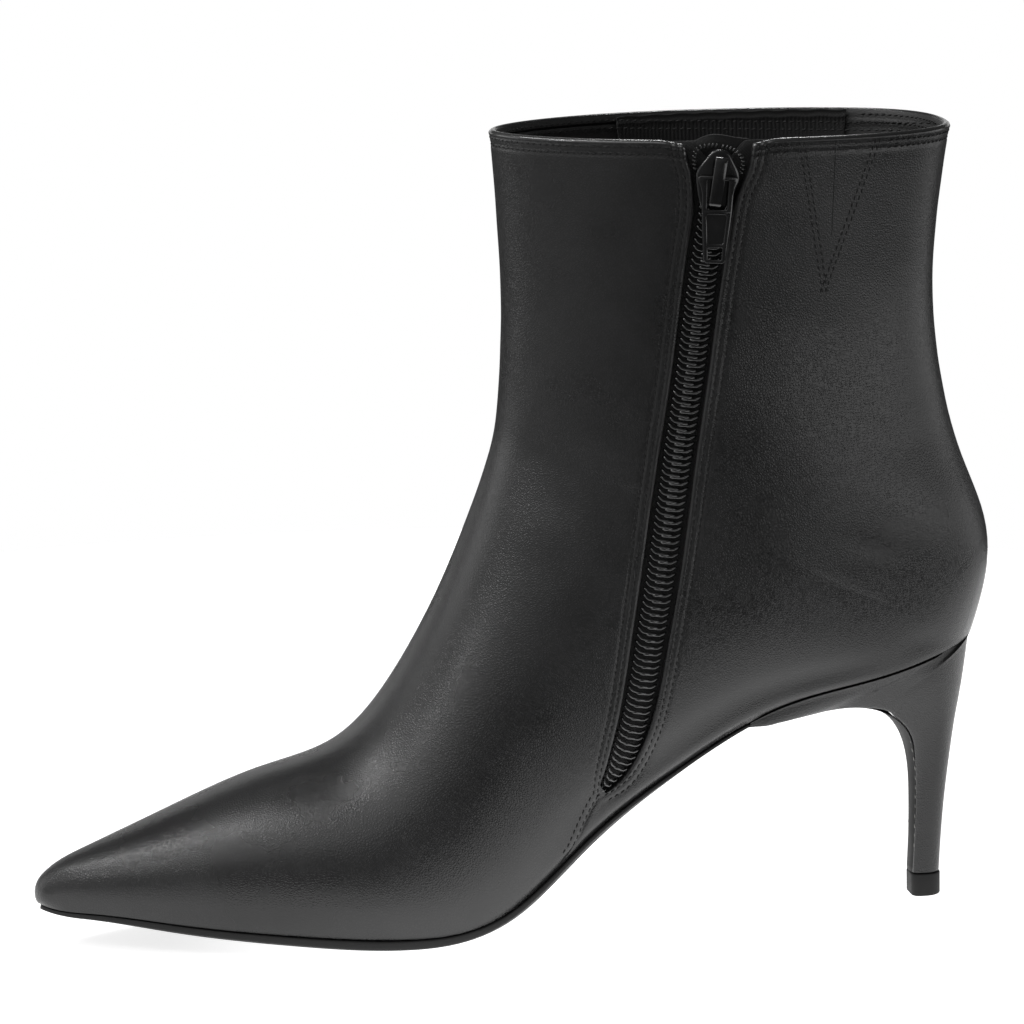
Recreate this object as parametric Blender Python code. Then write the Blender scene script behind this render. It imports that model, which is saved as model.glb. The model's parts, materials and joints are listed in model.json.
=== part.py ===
"""A heeled ankle boot for the right foot, standing on its sole.

The toe points along -X, the inner side of the foot lies along -Y and +Z is up. The origin is on the
floor, at the middle of the boot's box. Tables are in millimetres; meshes are made in metres.
"""

import math

import bmesh
import bpy
import numpy as np
from mathutils import Matrix, Vector
from mathutils.bvhtree import BVHTree

MM = 0.001
WELD = 0.00001

# Driving sizes of the boot
LENGTH = 250.0
BALL_WIDTH = 79.0
HEEL_HEIGHT = 67.2
COLLAR_HEIGHT = 204.2
COLLAR_WIDTH = 70.0
ANKLE_WIDTH = 63.0
WALL = 2.0
GAP = 0.3
BALL_HALF = BALL_WIDTH / 2
COLLAR_HALF = COLLAR_WIDTH / 2
ANKLE_HALF = ANKLE_WIDTH / 2

# Sections of the last, each from its top, on the front of the boot, to its base, on the edge of the
# sole or on the back line. The half widths are measured from the middle plane, the inner side first.
# widest is where along the section it is widest, and the rounds are the powers of its two arcs. The
# lower arc stops where it meets the sole's edge. steps counts the rows of faces from the section before.
SECTION_COLUMNS = (
    "name", "top_x", "top_z", "base_x", "base_z", "crest_y",
    "half_medial", "half_lateral", "widest", "top_round", "base_round", "steps",
)
NOSE_Z = 13.9
TIP_X = -123.8
TIP_Y = -4.0
HEEL_END_X = 120.3
SECTIONS = (
    ("nose", -LENGTH / 2, NOSE_Z, -LENGTH / 2, NOSE_Z, TIP_Y, -TIP_Y, TIP_Y, 0.50, 2.0, 2.0, 0),
    ("toe_tip", -124.2, 17.0, TIP_X, 11.2, TIP_Y, 7.2, -0.8, 0.58, 2.0, 2.0, 3),
    ("toe_nose", -121.6, 19.8, -120.8, 10.7, TIP_Y, 10.0, 1.9, 0.62, 2.1, 2.0, 2),
    ("toe_cap", -112.0, 24.7, -111.6, 10.2, -4.0, 15.4, 7.8, 0.66, 2.2, 2.0, 3),
    ("toe", -91.0, 32.9, -90.0, 8.2, -4.0, 25.0, 20.0, 0.70, 2.2, 2.0, 3),
    ("vamp", -66.0, 42.4, -62.0, 6.0, -5.0, 34.5, 32.5, 0.74, 2.15, 2.0, 3),
    ("ball", -47.0, 48.6, -33.0, 4.7, -5.0, BALL_HALF, BALL_HALF, 0.76, 2.1, 2.0, 3),
    ("waist", -33.5, 61.8, -6.0, 10.0, -4.0, 37.5, 39.5, 0.72, 2.1, 2.0, 3),
    ("arch", -22.0, 80.2, 14.0, 25.3, -2.0, 33.5, 37.5, 0.68, 2.1, 2.0, 3),
    ("instep", -13.3, 98.5, 40.0, 42.7, 0.0, 31.0, 34.0, 0.64, 2.1, 2.0, 3),
    ("shank", -8.0, 112.0, 64.0, 55.8, 0.0, 30.5, 32.5, 0.62, 2.1, 2.0, 3),
    ("seat", -4.8, 121.5, 92.0, 62.6, 0.0, 31.0, 31.5, 0.60, 2.1, 2.0, 3),
    ("counter", -3.0, 130.0, HEEL_END_X, HEEL_HEIGHT, 0.0, ANKLE_HALF, ANKLE_HALF, 0.55, 2.1, 2.0, 7),
    ("heel_curve", -2.1, 139.0, LENGTH / 2, 87.8, 0.0, ANKLE_HALF, ANKLE_HALF, 0.52, 2.1, 2.1, 5),
    ("tendon", -1.5, 149.0, 118.0, 116.5, 0.0, ANKLE_HALF, ANKLE_HALF, 0.50, 2.1, 2.2, 3),
    ("ankle", -1.1, 160.0, 110.7, 152.0, 0.0, ANKLE_HALF, ANKLE_HALF, 0.50, 2.05, 2.3, 3),
    ("shaft", -1.7, 179.0, 111.0, 176.0, 0.0, 33.0, 33.0, 0.50, 1.95, 2.4, 2),
    ("collar", -3.4, COLLAR_HEIGHT, 114.4, 203.4, 0.0, COLLAR_HALF, COLLAR_HALF, 0.50, 1.85, 2.6, 2),
)
TIP_SECTION = "toe_tip"
HEEL_SECTION = "counter"
STEPS_PER_ARC = 14

# Outline of the last's edge over the sole, in plan
OUTLINE_COLUMNS = ("name", "x", "medial", "lateral")
OUTLINE = (
    ("tip", TIP_X, -TIP_Y, TIP_Y),
    ("tip_turn", -121.0, 8.6, 0.6),
    ("toe_cap", -111.0, 14.6, 7.4),
    ("toe", -89.0, 23.6, 19.2),
    ("vamp", -60.0, 33.0, 31.5),
    ("medial_ball", -30.0, 37.5, 37.5),
    ("lateral_ball", -5.0, 33.5, 38.0),
    ("waist", 20.0, 26.5, 32.5),
    ("shank", 50.0, 23.0, 27.0),
    ("seat", 88.0, 23.0, 23.5),
    ("heel_side", 107.0, 17.5, 17.6),
    ("heel_turn", 117.2, 8.8, 8.8),
    ("heel_end", HEEL_END_X, 0.0, 0.0),
)

# Outsole: its margin past the last's edge, the thickness of its edge, the extra depth at the middle
# and the power of that crown, high where the sole is flat with rolled edges
SOLE_COLUMNS = ("name", "x", "margin", "edge", "crown", "power")
SOLE = (
    ("tip", TIP_X, -0.4, 1.6, 0.6, 4.0),
    ("toe", -100.0, 0.3, 2.1, 1.2, 5.0),
    ("vamp", -62.0, 0.7, 2.5, 1.7, 6.0),
    ("tread", -36.0, 0.8, 2.8, 2.4, 6.0),
    ("tread_end", -16.0, 0.7, 2.8, 2.6, 5.0),
    ("waist", 10.0, 0.3, 2.5, 3.4, 2.6),
    ("shank", 34.0, 0.0, 2.2, 3.1, 2.2),
    ("joint", 52.5, 0.0, 1.9, 3.0, 2.2),
)
# The sole's top line past the shank, under the heel's tongue and down the front of the heel
FLAP_COLUMNS = ("name", "x", "z", "half", "edge", "crown")
FLAP = (
    ("under_tongue", 60.0, 51.3, 23.3, 1.7, 1.9),
    ("tongue", 68.0, 52.5, 21.8, 1.5, 1.0),
    ("tongue_root", 76.0, 53.3, 19.8, 1.4, 0.5),
    ("breast_top", 84.5, 53.8, 17.6, 1.3, 0.1),
    ("breast_turn", 92.4, 52.6, 14.8, 1.3, 0.0),
    ("breast_curve", 98.0, 49.6, 11.8, 1.3, 0.0),
    ("breast_high", 102.2, 44.9, 8.6, 1.3, 0.0),
    ("breast", 104.4, 37.0, 5.8, 1.3, 0.0),
    ("breast_low", 104.9, 26.0, 4.5, 1.3, 0.0),
    ("stem", 104.6, 15.5, 4.1, 1.3, 0.0),
    ("lift", 104.1, 6.4, 4.0, 1.3, 0.0),
)
FLAP_STEPS = 22
SOLE_STEPS = 30
SOLE_STEP_POWER = 1.35
SOLE_ACROSS = 11
FULL_CROWN_HALF = 8.0

# Heel, in sections from its front to its back line or, at the top, to the seat under the upper
STEM_COLUMNS = ("name", "front_x", "front_z", "back_x", "back_z", "front_half", "side_half", "widest")
STEM_ROWS = (
    ("lift_end", 104.5, 6.4, 112.1, 6.4, 3.8, 4.7, 0.45),
    ("stem_low", 105.0, 15.8, 112.7, 16.0, 3.9, 4.9, 0.45),
    ("stem", 105.3, 26.3, 113.7, 27.0, 4.3, 5.6, 0.45),
    ("stem_high", 104.8, 37.2, 115.1, 38.5, 5.6, 7.2, 0.48),
    ("flare", 102.6, 45.2, 116.6, 49.0, 8.4, 9.8, 0.50),
    ("cup", 98.3, 50.0, 118.2, 57.5, 11.6, 12.8, 0.50),
)
SEAT_COLUMNS = ("name", "front_x", "front_z", "back_x", "front_half", "side_half", "widest")
SEAT_ROWS = (
    ("seat_end", 92.6, 53.1, 120.2, 14.6, 16.4, 0.45),
    ("seat_back", 84.7, 54.2, 114.0, 17.4, 18.4, 0.50),
    ("seat", 76.2, 53.8, 100.0, 19.6, 21.0, 0.60),
    ("tongue", 68.2, 53.0, 83.0, 21.6, 22.8, 0.70),
    ("tongue_end", 61.2, 52.0, 68.5, 22.8, 23.4, 0.70),
    ("tongue_tip", 55.5, 51.2, 55.8, 22.6, 22.9, 0.70),
)
HEEL_STEPS = 2
HEEL_ARC = 10

# Top lift under the heel
LIFT_HEIGHT = 6.0
LIFT_FRONT = 102.7
LIFT_BACK = 112.4
LIFT_HALF = 4.9
LIFT_CORNER = 0.6
LIFT_STEPS = 14
LIFT_BEVEL = 0.4
BEVEL_ANGLE = 50.0

# Insole, inside the turned edge of the upper
INSOLE_INSET = 3.2
INSOLE_THICK = 2.0
INSOLE_STEPS = 44
INSOLE_ACROSS = 5

# Zip: the middle of its slot on the inner side, and half the slot's width
ZIP_COLUMNS = ("name", "x", "z", "half")
ZIP = (
    ("above_collar", 49.1, 209.0, 8.6),
    ("collar", 48.6, 201.6, 7.8),
    ("slider", 47.3, 185.2, 5.6),
    ("shaft", 42.4, 150.0, 5.2),
    ("ankle", 38.5, 123.0, 5.3),
    ("instep", 34.6, 98.0, 5.3),
    ("quarter", 30.2, 73.0, 4.9),
    ("arch", 27.0, 55.5, 4.3),
    ("turn", 23.8, 46.0, 3.0),
    ("end", 18.6, 38.6, 0.5),
)
SLOT_STEPS = 30
SLOT_REACH = (12.0, 80.0)
ZIP_ROWS = 26
TAPE_TOP = 202.8
TAPE_MARGIN = 4.5
TAPE_SHORT = 1.0
TAPE_DEPTH = (2.45, 3.0)
CHAIN_TOP = 185.6
CHAIN_FOOT = 42.6
CHAIN_HALF = 3.4
CHAIN_CLEAR = 0.7
CHAIN_DEPTH = (0.4, 2.1)
# Flap behind the zip: half its width, by share of its length from the top
GUARD_TOP = 204.0
GUARD_FOOT = 62.0
GUARD_COLUMNS = ("name", "share", "half")
GUARD = (
    ("top", 0.0, 6.2),
    ("below_slider", 0.12, 7.7),
    ("shaft", 0.3, 9.5),
    ("foot", 1.0, 9.5),
)
GUARD_ROWS = 20
GUARD_DEPTH = (3.4, 4.4)

# Elastic panel inside the outer side of the shaft
ELASTIC_MIDDLE = 64.7
ELASTIC_HALF = (31.0, 26.0)
ELASTIC_TOP = 202.2
ELASTIC_FOOT = 146.0
ELASTIC_DEPTH = (2.45, 3.4)
ELASTIC_ROWS = 11

# Slider and pull tab, in their own frame: X across the zip, Y up along it, Z out of the boot
PIVOT_X = 48.5
PIVOT_Z = 195.3
PIVOT_RISE = 2.15
SLIDER_OUTLINE = (
    (-4.3, 6.3), (-5.5, 1.5), (-5.4, -1.5), (-4.4, -5.5), (-3.0, -8.9),
    (3.0, -8.9), (4.4, -5.5), (5.4, -1.5), (5.5, 1.5), (4.3, 6.3),
)
SLIDER_DEPTH = (-1.8, 1.2)
SLIDER_BEVEL = 0.25
BRIDGE_HALF = 1.4
BRIDGE_PROFILE = (
    (5.1, 0.8), (5.1, 3.6), (4.4, 4.2), (-6.9, 4.2), (-7.6, 3.6), (-7.6, 0.8),
    (-6.3, 0.8), (-6.3, 3.15), (3.8, 3.15), (3.8, 0.8),
)
PULL_LENGTH = 22.9
PULL_OUTLINE = (
    (-5.1, 0.6), (-5.1, -1.8), (-3.9, -4.2), (-3.7, -9.0), (-3.1, -22.2), (-2.4, -PULL_LENGTH),
    (2.4, -PULL_LENGTH), (3.1, -22.2), (3.7, -9.0), (3.9, -4.2), (5.1, -1.8), (5.1, 0.6),
)
PULL_THICK = 1.2
PULL_BEVEL = 0.2
PULL_RECESS = 0.4
# Cuts in the pull: name, half width, upper edge, lower edge, and whether the cut goes right through
PULL_CUTS = (
    ("window", 2.5, -0.6, -8.9, True),
    ("panel", 2.4, -10.0, -17.6, False),
    ("hole", 1.7, -18.6, -21.6, True),
)


def column(table, columns, name):
    """One named column of a table, as an array."""
    return np.array([row[columns.index(name)] for row in table], float)


def spline(knots, values, start="free", end="free"):
    """A cubic spline through values at knots. A flat end starts or stops with no slope."""
    x = np.asarray(knots, float)
    y = np.asarray(values, float)
    step = np.diff(x)
    slope = np.diff(y) / step
    count = len(x)
    matrix = np.eye(count)
    right = np.zeros(count)
    for i in range(1, count - 1):
        matrix[i, i - 1 : i + 2] = step[i - 1], 2 * (step[i - 1] + step[i]), step[i]
        right[i] = 6 * (slope[i] - slope[i - 1])
    if start == "flat":
        matrix[0, :2] = 2, 1
        right[0] = 6 * slope[0] / step[0]
    if end == "flat":
        matrix[-1, -2:] = 1, 2
        right[-1] = -6 * slope[-1] / step[-1]
    bend = np.linalg.solve(matrix, right)

    def at(where):
        where = np.asarray(where, float)
        i = np.clip(np.searchsorted(x, where) - 1, 0, count - 2)
        left = x[i + 1] - where
        gone = where - x[i]
        curve = (bend[i] * left**3 + bend[i + 1] * gone**3) / (6 * step[i])
        first = (y[i] / step[i] - bend[i] * step[i] / 6) * left
        second = (y[i + 1] / step[i] - bend[i + 1] * step[i] / 6) * gone
        return curve + first + second

    return at


def run_along(*coordinates):
    """Distance along a line of points, from the first."""
    return np.r_[0, np.cumsum(np.sqrt(sum(np.diff(c) ** 2 for c in coordinates)))]


class Edge:
    """The last's edge over the sole: its plan and its height."""

    SAMPLES = 400

    def __init__(self):
        x = column(OUTLINE, OUTLINE_COLUMNS, "x")
        medial = column(OUTLINE, OUTLINE_COLUMNS, "medial")
        lateral = column(OUTLINE, OUTLINE_COLUMNS, "lateral")
        run = run_along(x, (medial + lateral) / 2)
        self.length = run[-1]
        self.x = spline(run, x, "flat", "flat")
        self.medial = spline(run, medial)
        self.lateral = spline(run, lateral)
        foot = SECTIONS[section_index(TIP_SECTION) : section_index(HEEL_SECTION) + 1]
        self.height = spline(
            column(foot, SECTION_COLUMNS, "base_x"), column(foot, SECTION_COLUMNS, "base_z")
        )
        self.samples = np.linspace(0, self.length, self.SAMPLES)

    def half(self, x, side):
        """Distance of the edge from the middle plane at x."""
        curve = self.medial if side == "medial" else self.lateral
        return np.interp(x, self.x(self.samples), curve(self.samples))

    def at_x(self, x):
        """Where along the edge it passes x."""
        return float(np.interp(x, self.x(self.samples), self.samples))

    def moved(self, where, inset):
        """The edge's two points at one place along it, moved inwards in plan, as (x, y)."""
        nudge = 0.05
        points = []
        for curve, sign in ((self.medial, -1), (self.lateral, 1)):
            if where <= 0.0:
                inward = np.array([1.0, 0.0])
            elif where >= self.length:
                inward = np.array([-1.0, 0.0])
            else:
                low = max(where - nudge, 0.0)
                high = min(where + nudge, self.length)
                along = np.array([self.x(high) - self.x(low), sign * (curve(high) - curve(low))])
                along /= np.linalg.norm(along)
                inward = np.array([along[1], -along[0]]) * sign
            points.append(np.array([self.x(where), sign * curve(where)]) + inset * inward)
        return points


def section_index(name):
    return [row[0] for row in SECTIONS].index(name)


class Last:
    """The boot's outer form: a fan of sections from the toe to the collar."""

    def __init__(self, edge):
        self.edge = edge
        values = {name: column(SECTIONS, SECTION_COLUMNS, name) for name in SECTION_COLUMNS[1:-1]}
        tops = run_along(values["top_x"], values["top_z"])
        bases = run_along(values["base_x"], values["base_z"])
        self.stations = (tops + bases) / 2
        turn = section_index(HEEL_SECTION)
        self.turn = self.stations[turn]
        self.curves = {}
        for name, row in values.items():
            self.curves[name] = spline(self.stations, row, "flat" if name == "top_x" else "free")
        tip = section_index(TIP_SECTION)
        self.tip = self.stations[tip]
        foot = slice(tip, turn + 1)
        back = slice(turn, None)
        self.foot_x = spline(self.stations[foot], values["base_x"][foot], "flat", "flat")
        self.back_x = spline(self.stations[back], values["base_x"][back], "flat")
        self.back_z = spline(self.stations[back], values["base_z"][back], "flat")

    def base(self, station):
        """Foot of a section: down the nose, along the sole's edge to the heel, then up the back line."""
        if station < self.tip:
            angle = math.pi / 2 * station / self.tip
            x = TIP_X - (TIP_X + LENGTH / 2) * math.cos(angle)
            return np.array([x, NOSE_Z + (float(self.edge.height(TIP_X)) - NOSE_Z) * math.sin(angle)])
        if station <= self.turn:
            x = float(self.foot_x(station))
            return np.array([x, float(self.edge.height(x))])
        return np.array([float(self.back_x(station)), float(self.back_z(station))])

    def point(self, station, share, side):
        """A point of a section; share runs from 0 at its top to 1 at its base."""
        value = {name: float(curve(station)) for name, curve in self.curves.items()}
        top = np.array([value["top_x"], value["top_z"]])
        base = self.base(station)
        sign = -1 if side == "medial" else 1
        half = sign * value["half_" + side]
        foot = 0.0
        if station <= self.turn:
            foot = sign * float(self.edge.half(base[0], side))
        angle = share * math.pi
        widest = value["widest"]
        if share <= 0.5:
            power = 2 / value["top_round"]
            along = widest * (1 - max(math.cos(angle), 0.0) ** power)
            y = value["crest_y"] + (half - value["crest_y"]) * math.sin(angle) ** power
        else:
            power = 2 / value["base_round"]
            reach = half - value["crest_y"]
            kept = max((foot - value["crest_y"]) / reach, 0.0) if reach else 0.0
            stop = math.acos(kept ** (1 / power))
            angle = (2 * share - 1) * stop
            along = widest + (1 - widest) * (math.sin(angle) / math.sin(stop)) ** power
            y = value["crest_y"] + reach * max(math.cos(angle), 0.0) ** power
        x, z = top + along * (base - top)
        return x, y, z

    def rows(self, arc):
        """Points of the form, a row for each section, from the inner base over the top to the outer."""
        stations = [self.stations[0]]
        for low, high, row in zip(self.stations, self.stations[1:], SECTIONS[1:]):
            stations.extend(np.linspace(low, high, row[-1] + 1)[1:])
        shares = np.linspace(0, 1, arc + 1)
        table = []
        for station in stations:
            inner = [self.point(station, share, "medial") for share in reversed(shares)]
            outer = [self.point(station, share, "lateral") for share in shares[1:]]
            table.append(inner + outer)
        return table


def new_object(name, bm, material, parent, smooth_angle=35.0):
    """A mesh object made from a bmesh, shaded smooth up to an angle."""
    mesh = bpy.data.meshes.new(name)
    bm.to_mesh(mesh)
    bm.free()
    mesh.shade_smooth()
    mesh.set_sharp_from_angle(angle=math.radians(smooth_angle))
    made = bpy.data.objects.new(name, mesh)
    bpy.context.scene.collection.objects.link(made)
    if material:
        mesh.materials.append(material)
    made.parent = parent
    return made


def add_grid(bm, table):
    """Faces between rows of points in millimetres; the rows run so that each face looks out."""
    rows = [[bm.verts.new(np.array(point) * MM) for point in row] for row in table]
    for near, far in zip(rows, rows[1:]):
        for i in range(len(near) - 1):
            bm.faces.new((near[i], far[i], far[i + 1], near[i + 1]))
    return rows


def weld(bm):
    """Merges points that meet, and drops the faces that close up there."""
    bmesh.ops.remove_doubles(bm, verts=bm.verts, dist=WELD)
    bmesh.ops.dissolve_degenerate(bm, edges=bm.edges, dist=WELD / 10)


def slab(near, far):
    """A closed shell between two tables of points with the same rows."""
    bm = bmesh.new()
    loops = []
    for table in (near, far):
        loops.append([[bm.verts.new(np.array(point) * MM) for point in row] for row in table])
    for rows in loops:
        for low, high in zip(rows, rows[1:]):
            for i in range(len(low) - 1):
                bm.faces.new((low[i], high[i], high[i + 1], low[i + 1]))
    first, second = loops
    ends = [([row[0] for row in first], [row[0] for row in second])]
    ends.append(([row[-1] for row in first], [row[-1] for row in second]))
    ends.append((first[0], second[0]))
    ends.append((first[-1], second[-1]))
    for one, other in ends:
        for i in range(len(one) - 1):
            bm.faces.new((one[i], other[i], other[i + 1], one[i + 1]))
    weld(bm)
    bmesh.ops.recalc_face_normals(bm, faces=bm.faces)
    return bm


def prism(outline, low, high):
    """An outline of (x, y) points, in millimetres, raised from one height to another."""
    bm = bmesh.new()
    face = bm.faces.new([bm.verts.new((x * MM, y * MM, low * MM)) for x, y in outline])
    raised = bmesh.ops.extrude_face_region(bm, geom=[face])["geom"]
    bmesh.ops.translate(
        bm, verts=[v for v in raised if isinstance(v, bmesh.types.BMVert)], vec=(0, 0, (high - low) * MM)
    )
    bmesh.ops.recalc_face_normals(bm, faces=bm.faces)
    return bm


def cut(target, cutter, operation="DIFFERENCE"):
    """A Boolean on target, whose other shape stays as a hidden helper."""
    modifier = target.modifiers.new(cutter.name, "BOOLEAN")
    modifier.operation = operation
    modifier.solver = "EXACT"
    modifier.object = cutter
    cutter.hide_render = True
    cutter.display_type = "WIRE"


def material(name, colour, roughness, metallic=0.0):
    made = bpy.data.materials.new(name)
    made.use_nodes = True
    shader = made.node_tree.nodes["Principled BSDF"]
    shader.inputs["Base Color"].default_value = (*colour, 1.0)
    shader.inputs["Roughness"].default_value = roughness
    shader.inputs["Metallic"].default_value = metallic
    return made


def empty(name, parent=None):
    made = bpy.data.objects.new(name, None)
    bpy.context.scene.collection.objects.link(made)
    made.parent = parent
    return made


class Skin:
    """The outer form as a surface that pieces can be laid on, seen along Y from one side."""

    FAR = 200.0
    NUDGE = 2.0

    def __init__(self, table):
        bm = bmesh.new()
        add_grid(bm, table)
        self.tree = BVHTree.FromBMesh(bm)
        bm.free()

    def y(self, x, z, side):
        sign = -1 if side == "medial" else 1
        start = Vector((x, sign * self.FAR, z)) * MM
        hit = self.tree.ray_cast(start, Vector((0, -sign, 0)))[0]
        return hit.y / MM

    def normal(self, x, z, side):
        """The outward direction, evened out over a few millimetres."""
        slope_x = (self.y(x + self.NUDGE, z, side) - self.y(x - self.NUDGE, z, side)) / (2 * self.NUDGE)
        slope_z = (self.y(x, z + self.NUDGE, side) - self.y(x, z - self.NUDGE, side)) / (2 * self.NUDGE)
        out = np.array([-slope_x, 1.0, -slope_z])
        return out / np.linalg.norm(out) * (-1 if side == "medial" else 1)

    def inside(self, x, z, depth, side):
        """The point at a depth below the surface, straight in from (x, z)."""
        reach = min(z, COLLAR_HEIGHT - 2 * self.NUDGE)
        point = np.array([x, self.y(x, reach, side), z])
        return point - depth * self.normal(x, reach, side)


class ZipLine:
    """The zip's middle line on the inner side, from above the collar down to its end."""

    SAMPLES = 400

    def __init__(self):
        x = column(ZIP, ZIP_COLUMNS, "x")
        z = column(ZIP, ZIP_COLUMNS, "z")
        run = run_along(x, z)
        self.length = run[-1]
        self.x = spline(run, x)
        self.z = spline(run, z)
        self.half = spline(run, column(ZIP, ZIP_COLUMNS, "half"))

    def at_height(self, z):
        where = np.linspace(0, self.length, self.SAMPLES)
        return float(np.interp(-z, -self.z(where), where))

    def across(self, where):
        """Direction across the zip, towards the heel."""
        nudge = 0.5
        step_x = self.x(where + nudge) - self.x(where - nudge)
        step_z = self.z(where + nudge) - self.z(where - nudge)
        return np.array([-step_z, step_x]) / math.hypot(step_x, step_z)

    def beside(self, where, distance):
        """The point at a distance from the middle line, as (x, z)."""
        return np.array([self.x(where), self.z(where)]) + distance * self.across(where)


def make_upper(table, zip_line, leather, parent):
    bm = bmesh.new()
    add_grid(bm, table)
    weld(bm)
    upper = new_object("upper", bm, leather, parent)
    wall = upper.modifiers.new("wall", "SOLIDIFY")
    wall.thickness = WALL * MM
    wall.offset = -1.0
    wall.use_even_offset = True
    cut(upper, make_slot_cutter(zip_line, parent))
    return upper


def make_slot_cutter(zip_line, parent):
    """A block along Y through the inner wall only, with the slot's outline."""
    where = np.linspace(0, zip_line.length, SLOT_STEPS)
    front = [zip_line.beside(w, -zip_line.half(w)) for w in where]
    back = [zip_line.beside(w, zip_line.half(w)) for w in where]
    outline = front + back[::-1]
    bm = prism(outline, *SLOT_REACH)
    bmesh.ops.rotate(bm, verts=bm.verts, matrix=Matrix.Rotation(math.radians(90), 3, "X"))
    return new_object("zip_slot_cutter", bm, None, parent)


def sole_stations(edge):
    """The outsole from the toe to the foot of the heel: middle point, sides, edge, crown and power."""
    x = column(SOLE, SOLE_COLUMNS, "x")
    shape = {name: spline(x, column(SOLE, SOLE_COLUMNS, name)) for name in SOLE_COLUMNS[2:]}
    stations = []
    last_x = SOLE[-1][1]
    for where in edge.at_x(last_x) * np.linspace(0, 1, SOLE_STEPS + 1) ** SOLE_STEP_POWER:
        at = min(float(edge.x(where)), last_x)
        (medial_x, medial_y), (lateral_x, lateral_y) = edge.moved(where, -float(shape["margin"](at)))
        middle = (medial_x + lateral_x) / 2
        top = float(edge.height(max(middle, TIP_X))) - GAP
        depths = [float(shape[name](at)) for name in ("edge", "crown", "power")]
        stations.append((middle, top, medial_y, lateral_y, *depths))
    flap = {name: column(FLAP, FLAP_COLUMNS, name) for name in FLAP_COLUMNS[1:]}
    joint = stations[-1]
    lead = stations[-3]
    run = run_along(np.r_[lead[0], joint[0], flap["x"]], np.r_[lead[1], joint[1], flap["z"]])
    ends = {
        "x": (lead[0], joint[0]), "z": (lead[1], joint[1]),
        "medial": (lead[2], joint[2]), "lateral": (lead[3], joint[3]),
        "edge": (lead[4], joint[4]), "crown": (lead[5], joint[5]),
    }
    values = dict(flap, medial=-flap["half"], lateral=flap["half"])
    curves = {name: spline(run, np.r_[start, values[name]]) for name, start in ends.items()}
    for where in np.linspace(run[1], run[-1], FLAP_STEPS + 1)[1:]:
        stations.append((*(float(curves[name](where)) for name in ends), joint[6]))
    return stations


def make_outsole(edge, leather, parent):
    stations = sole_stations(edge)
    line = np.array([station[:2] for station in stations])
    along = np.gradient(line, axis=0)
    along /= np.linalg.norm(along, axis=1)[:, None]
    across = np.sin(np.linspace(-math.pi / 2, math.pi / 2, SOLE_ACROSS))
    top, under = [], []
    for (x, z, medial, lateral, side, crown, power), (dx, dz) in zip(stations, along):
        middle = (medial + lateral) / 2
        half = (lateral - medial) / 2
        upper_row, lower_row = [], []
        for share in across:
            depth = side + max(crown, 0.0) * min(half / FULL_CROWN_HALF, 1.0) * (1 - abs(share) ** power)
            y = middle + half * share
            upper_row.append((x, y, z))
            lower_row.append((x + dz * depth, y, max(z - dx * depth, 0.0)))
        top.append(upper_row)
        under.append(lower_row)
    return new_object("outsole", slab(top, under), leather, parent)


def make_insole(edge, leather, parent):
    across = np.linspace(0, 1, INSOLE_ACROSS)
    top, under = [], []
    for where in edge.length * (1 - np.cos(np.linspace(0, math.pi, INSOLE_STEPS))) / 2:
        medial, lateral = edge.moved(where, INSOLE_INSET)
        row = [medial + share * (lateral - medial) for share in across]
        under.append([(x, y, float(edge.height(x))) for x, y in row])
        top.append([(x, y, float(edge.height(x)) + INSOLE_THICK) for x, y in row])
    return new_object("insole", slab(top, under), leather, parent)


def heel_rows(edge):
    """Rows round the heel, each from the middle of its front along one side to its back."""
    known = {}
    for name in STEM_COLUMNS[1:]:
        stem = column(STEM_ROWS, STEM_COLUMNS, name)
        if name == "back_z":
            seat = edge.height(column(SEAT_ROWS, SEAT_COLUMNS, "back_x")) - GAP
        else:
            seat = column(SEAT_ROWS, SEAT_COLUMNS, name)
        known[name] = np.r_[stem, seat]
    fronts = run_along(known["front_x"], known["front_z"])
    backs = run_along(known["back_x"], known["back_z"])
    run = (fronts + backs) / 2
    where = np.interp(np.arange(0, len(run) - 1 + 1 / HEEL_STEPS, 1 / HEEL_STEPS), np.arange(len(run)), run)
    value = {name: spline(run, row)(where) for name, row in known.items()}
    turn = len(STEM_ROWS)
    on_seat = where > run[turn]
    for name in ("back_x", "back_z"):
        stem = spline(run[: turn + 1], known[name][: turn + 1])(where)
        seat = spline(run[turn:], known[name][turn:])(where)
        value[name] = np.where(on_seat, seat, stem)
    value["back_z"] = np.where(on_seat, edge.height(value["back_x"]) - GAP, value["back_z"])
    value["seat_half"] = np.where(on_seat, edge.half(value["back_x"], "medial"), 0.0)
    return value


def make_heel(edge, leather, parent):
    value = heel_rows(edge)
    shares = np.linspace(0, 1, HEEL_ARC + 1)
    table = []
    for i in range(len(value["front_x"])):
        front = np.array([value["front_x"][i], value["front_z"][i]])
        back = np.array([value["back_x"][i], value["back_z"][i]])
        side, widest = value["side_half"][i], value["widest"][i]
        arc = []
        for share in shares:
            angle = share * math.pi
            end = value["front_half"][i] if share <= 0.5 else value["seat_half"][i]
            reach = widest if share <= 0.5 else 1 - widest
            along = widest - reach * math.cos(angle)
            y = end + (side - end) * math.sin(angle)
            x, z = front + along * (back - front)
            arc.append((x, y, z))
        table.append([(x, -y, z) for x, y, z in arc] + arc[::-1])
    bm = bmesh.new()
    rows = [[bm.verts.new(np.array(point) * MM) for point in row] for row in table]
    for near, far in zip(rows, rows[1:]):
        count = len(near)
        for j in range(count):
            bm.faces.new((near[j], far[j], far[(j + 1) % count], near[(j + 1) % count]))
    bm.faces.new(rows[0])
    bm.faces.new(rows[-1])
    weld(bm)
    bmesh.ops.recalc_face_normals(bm, faces=bm.faces)
    return new_object("heel", bm, leather, parent)


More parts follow.
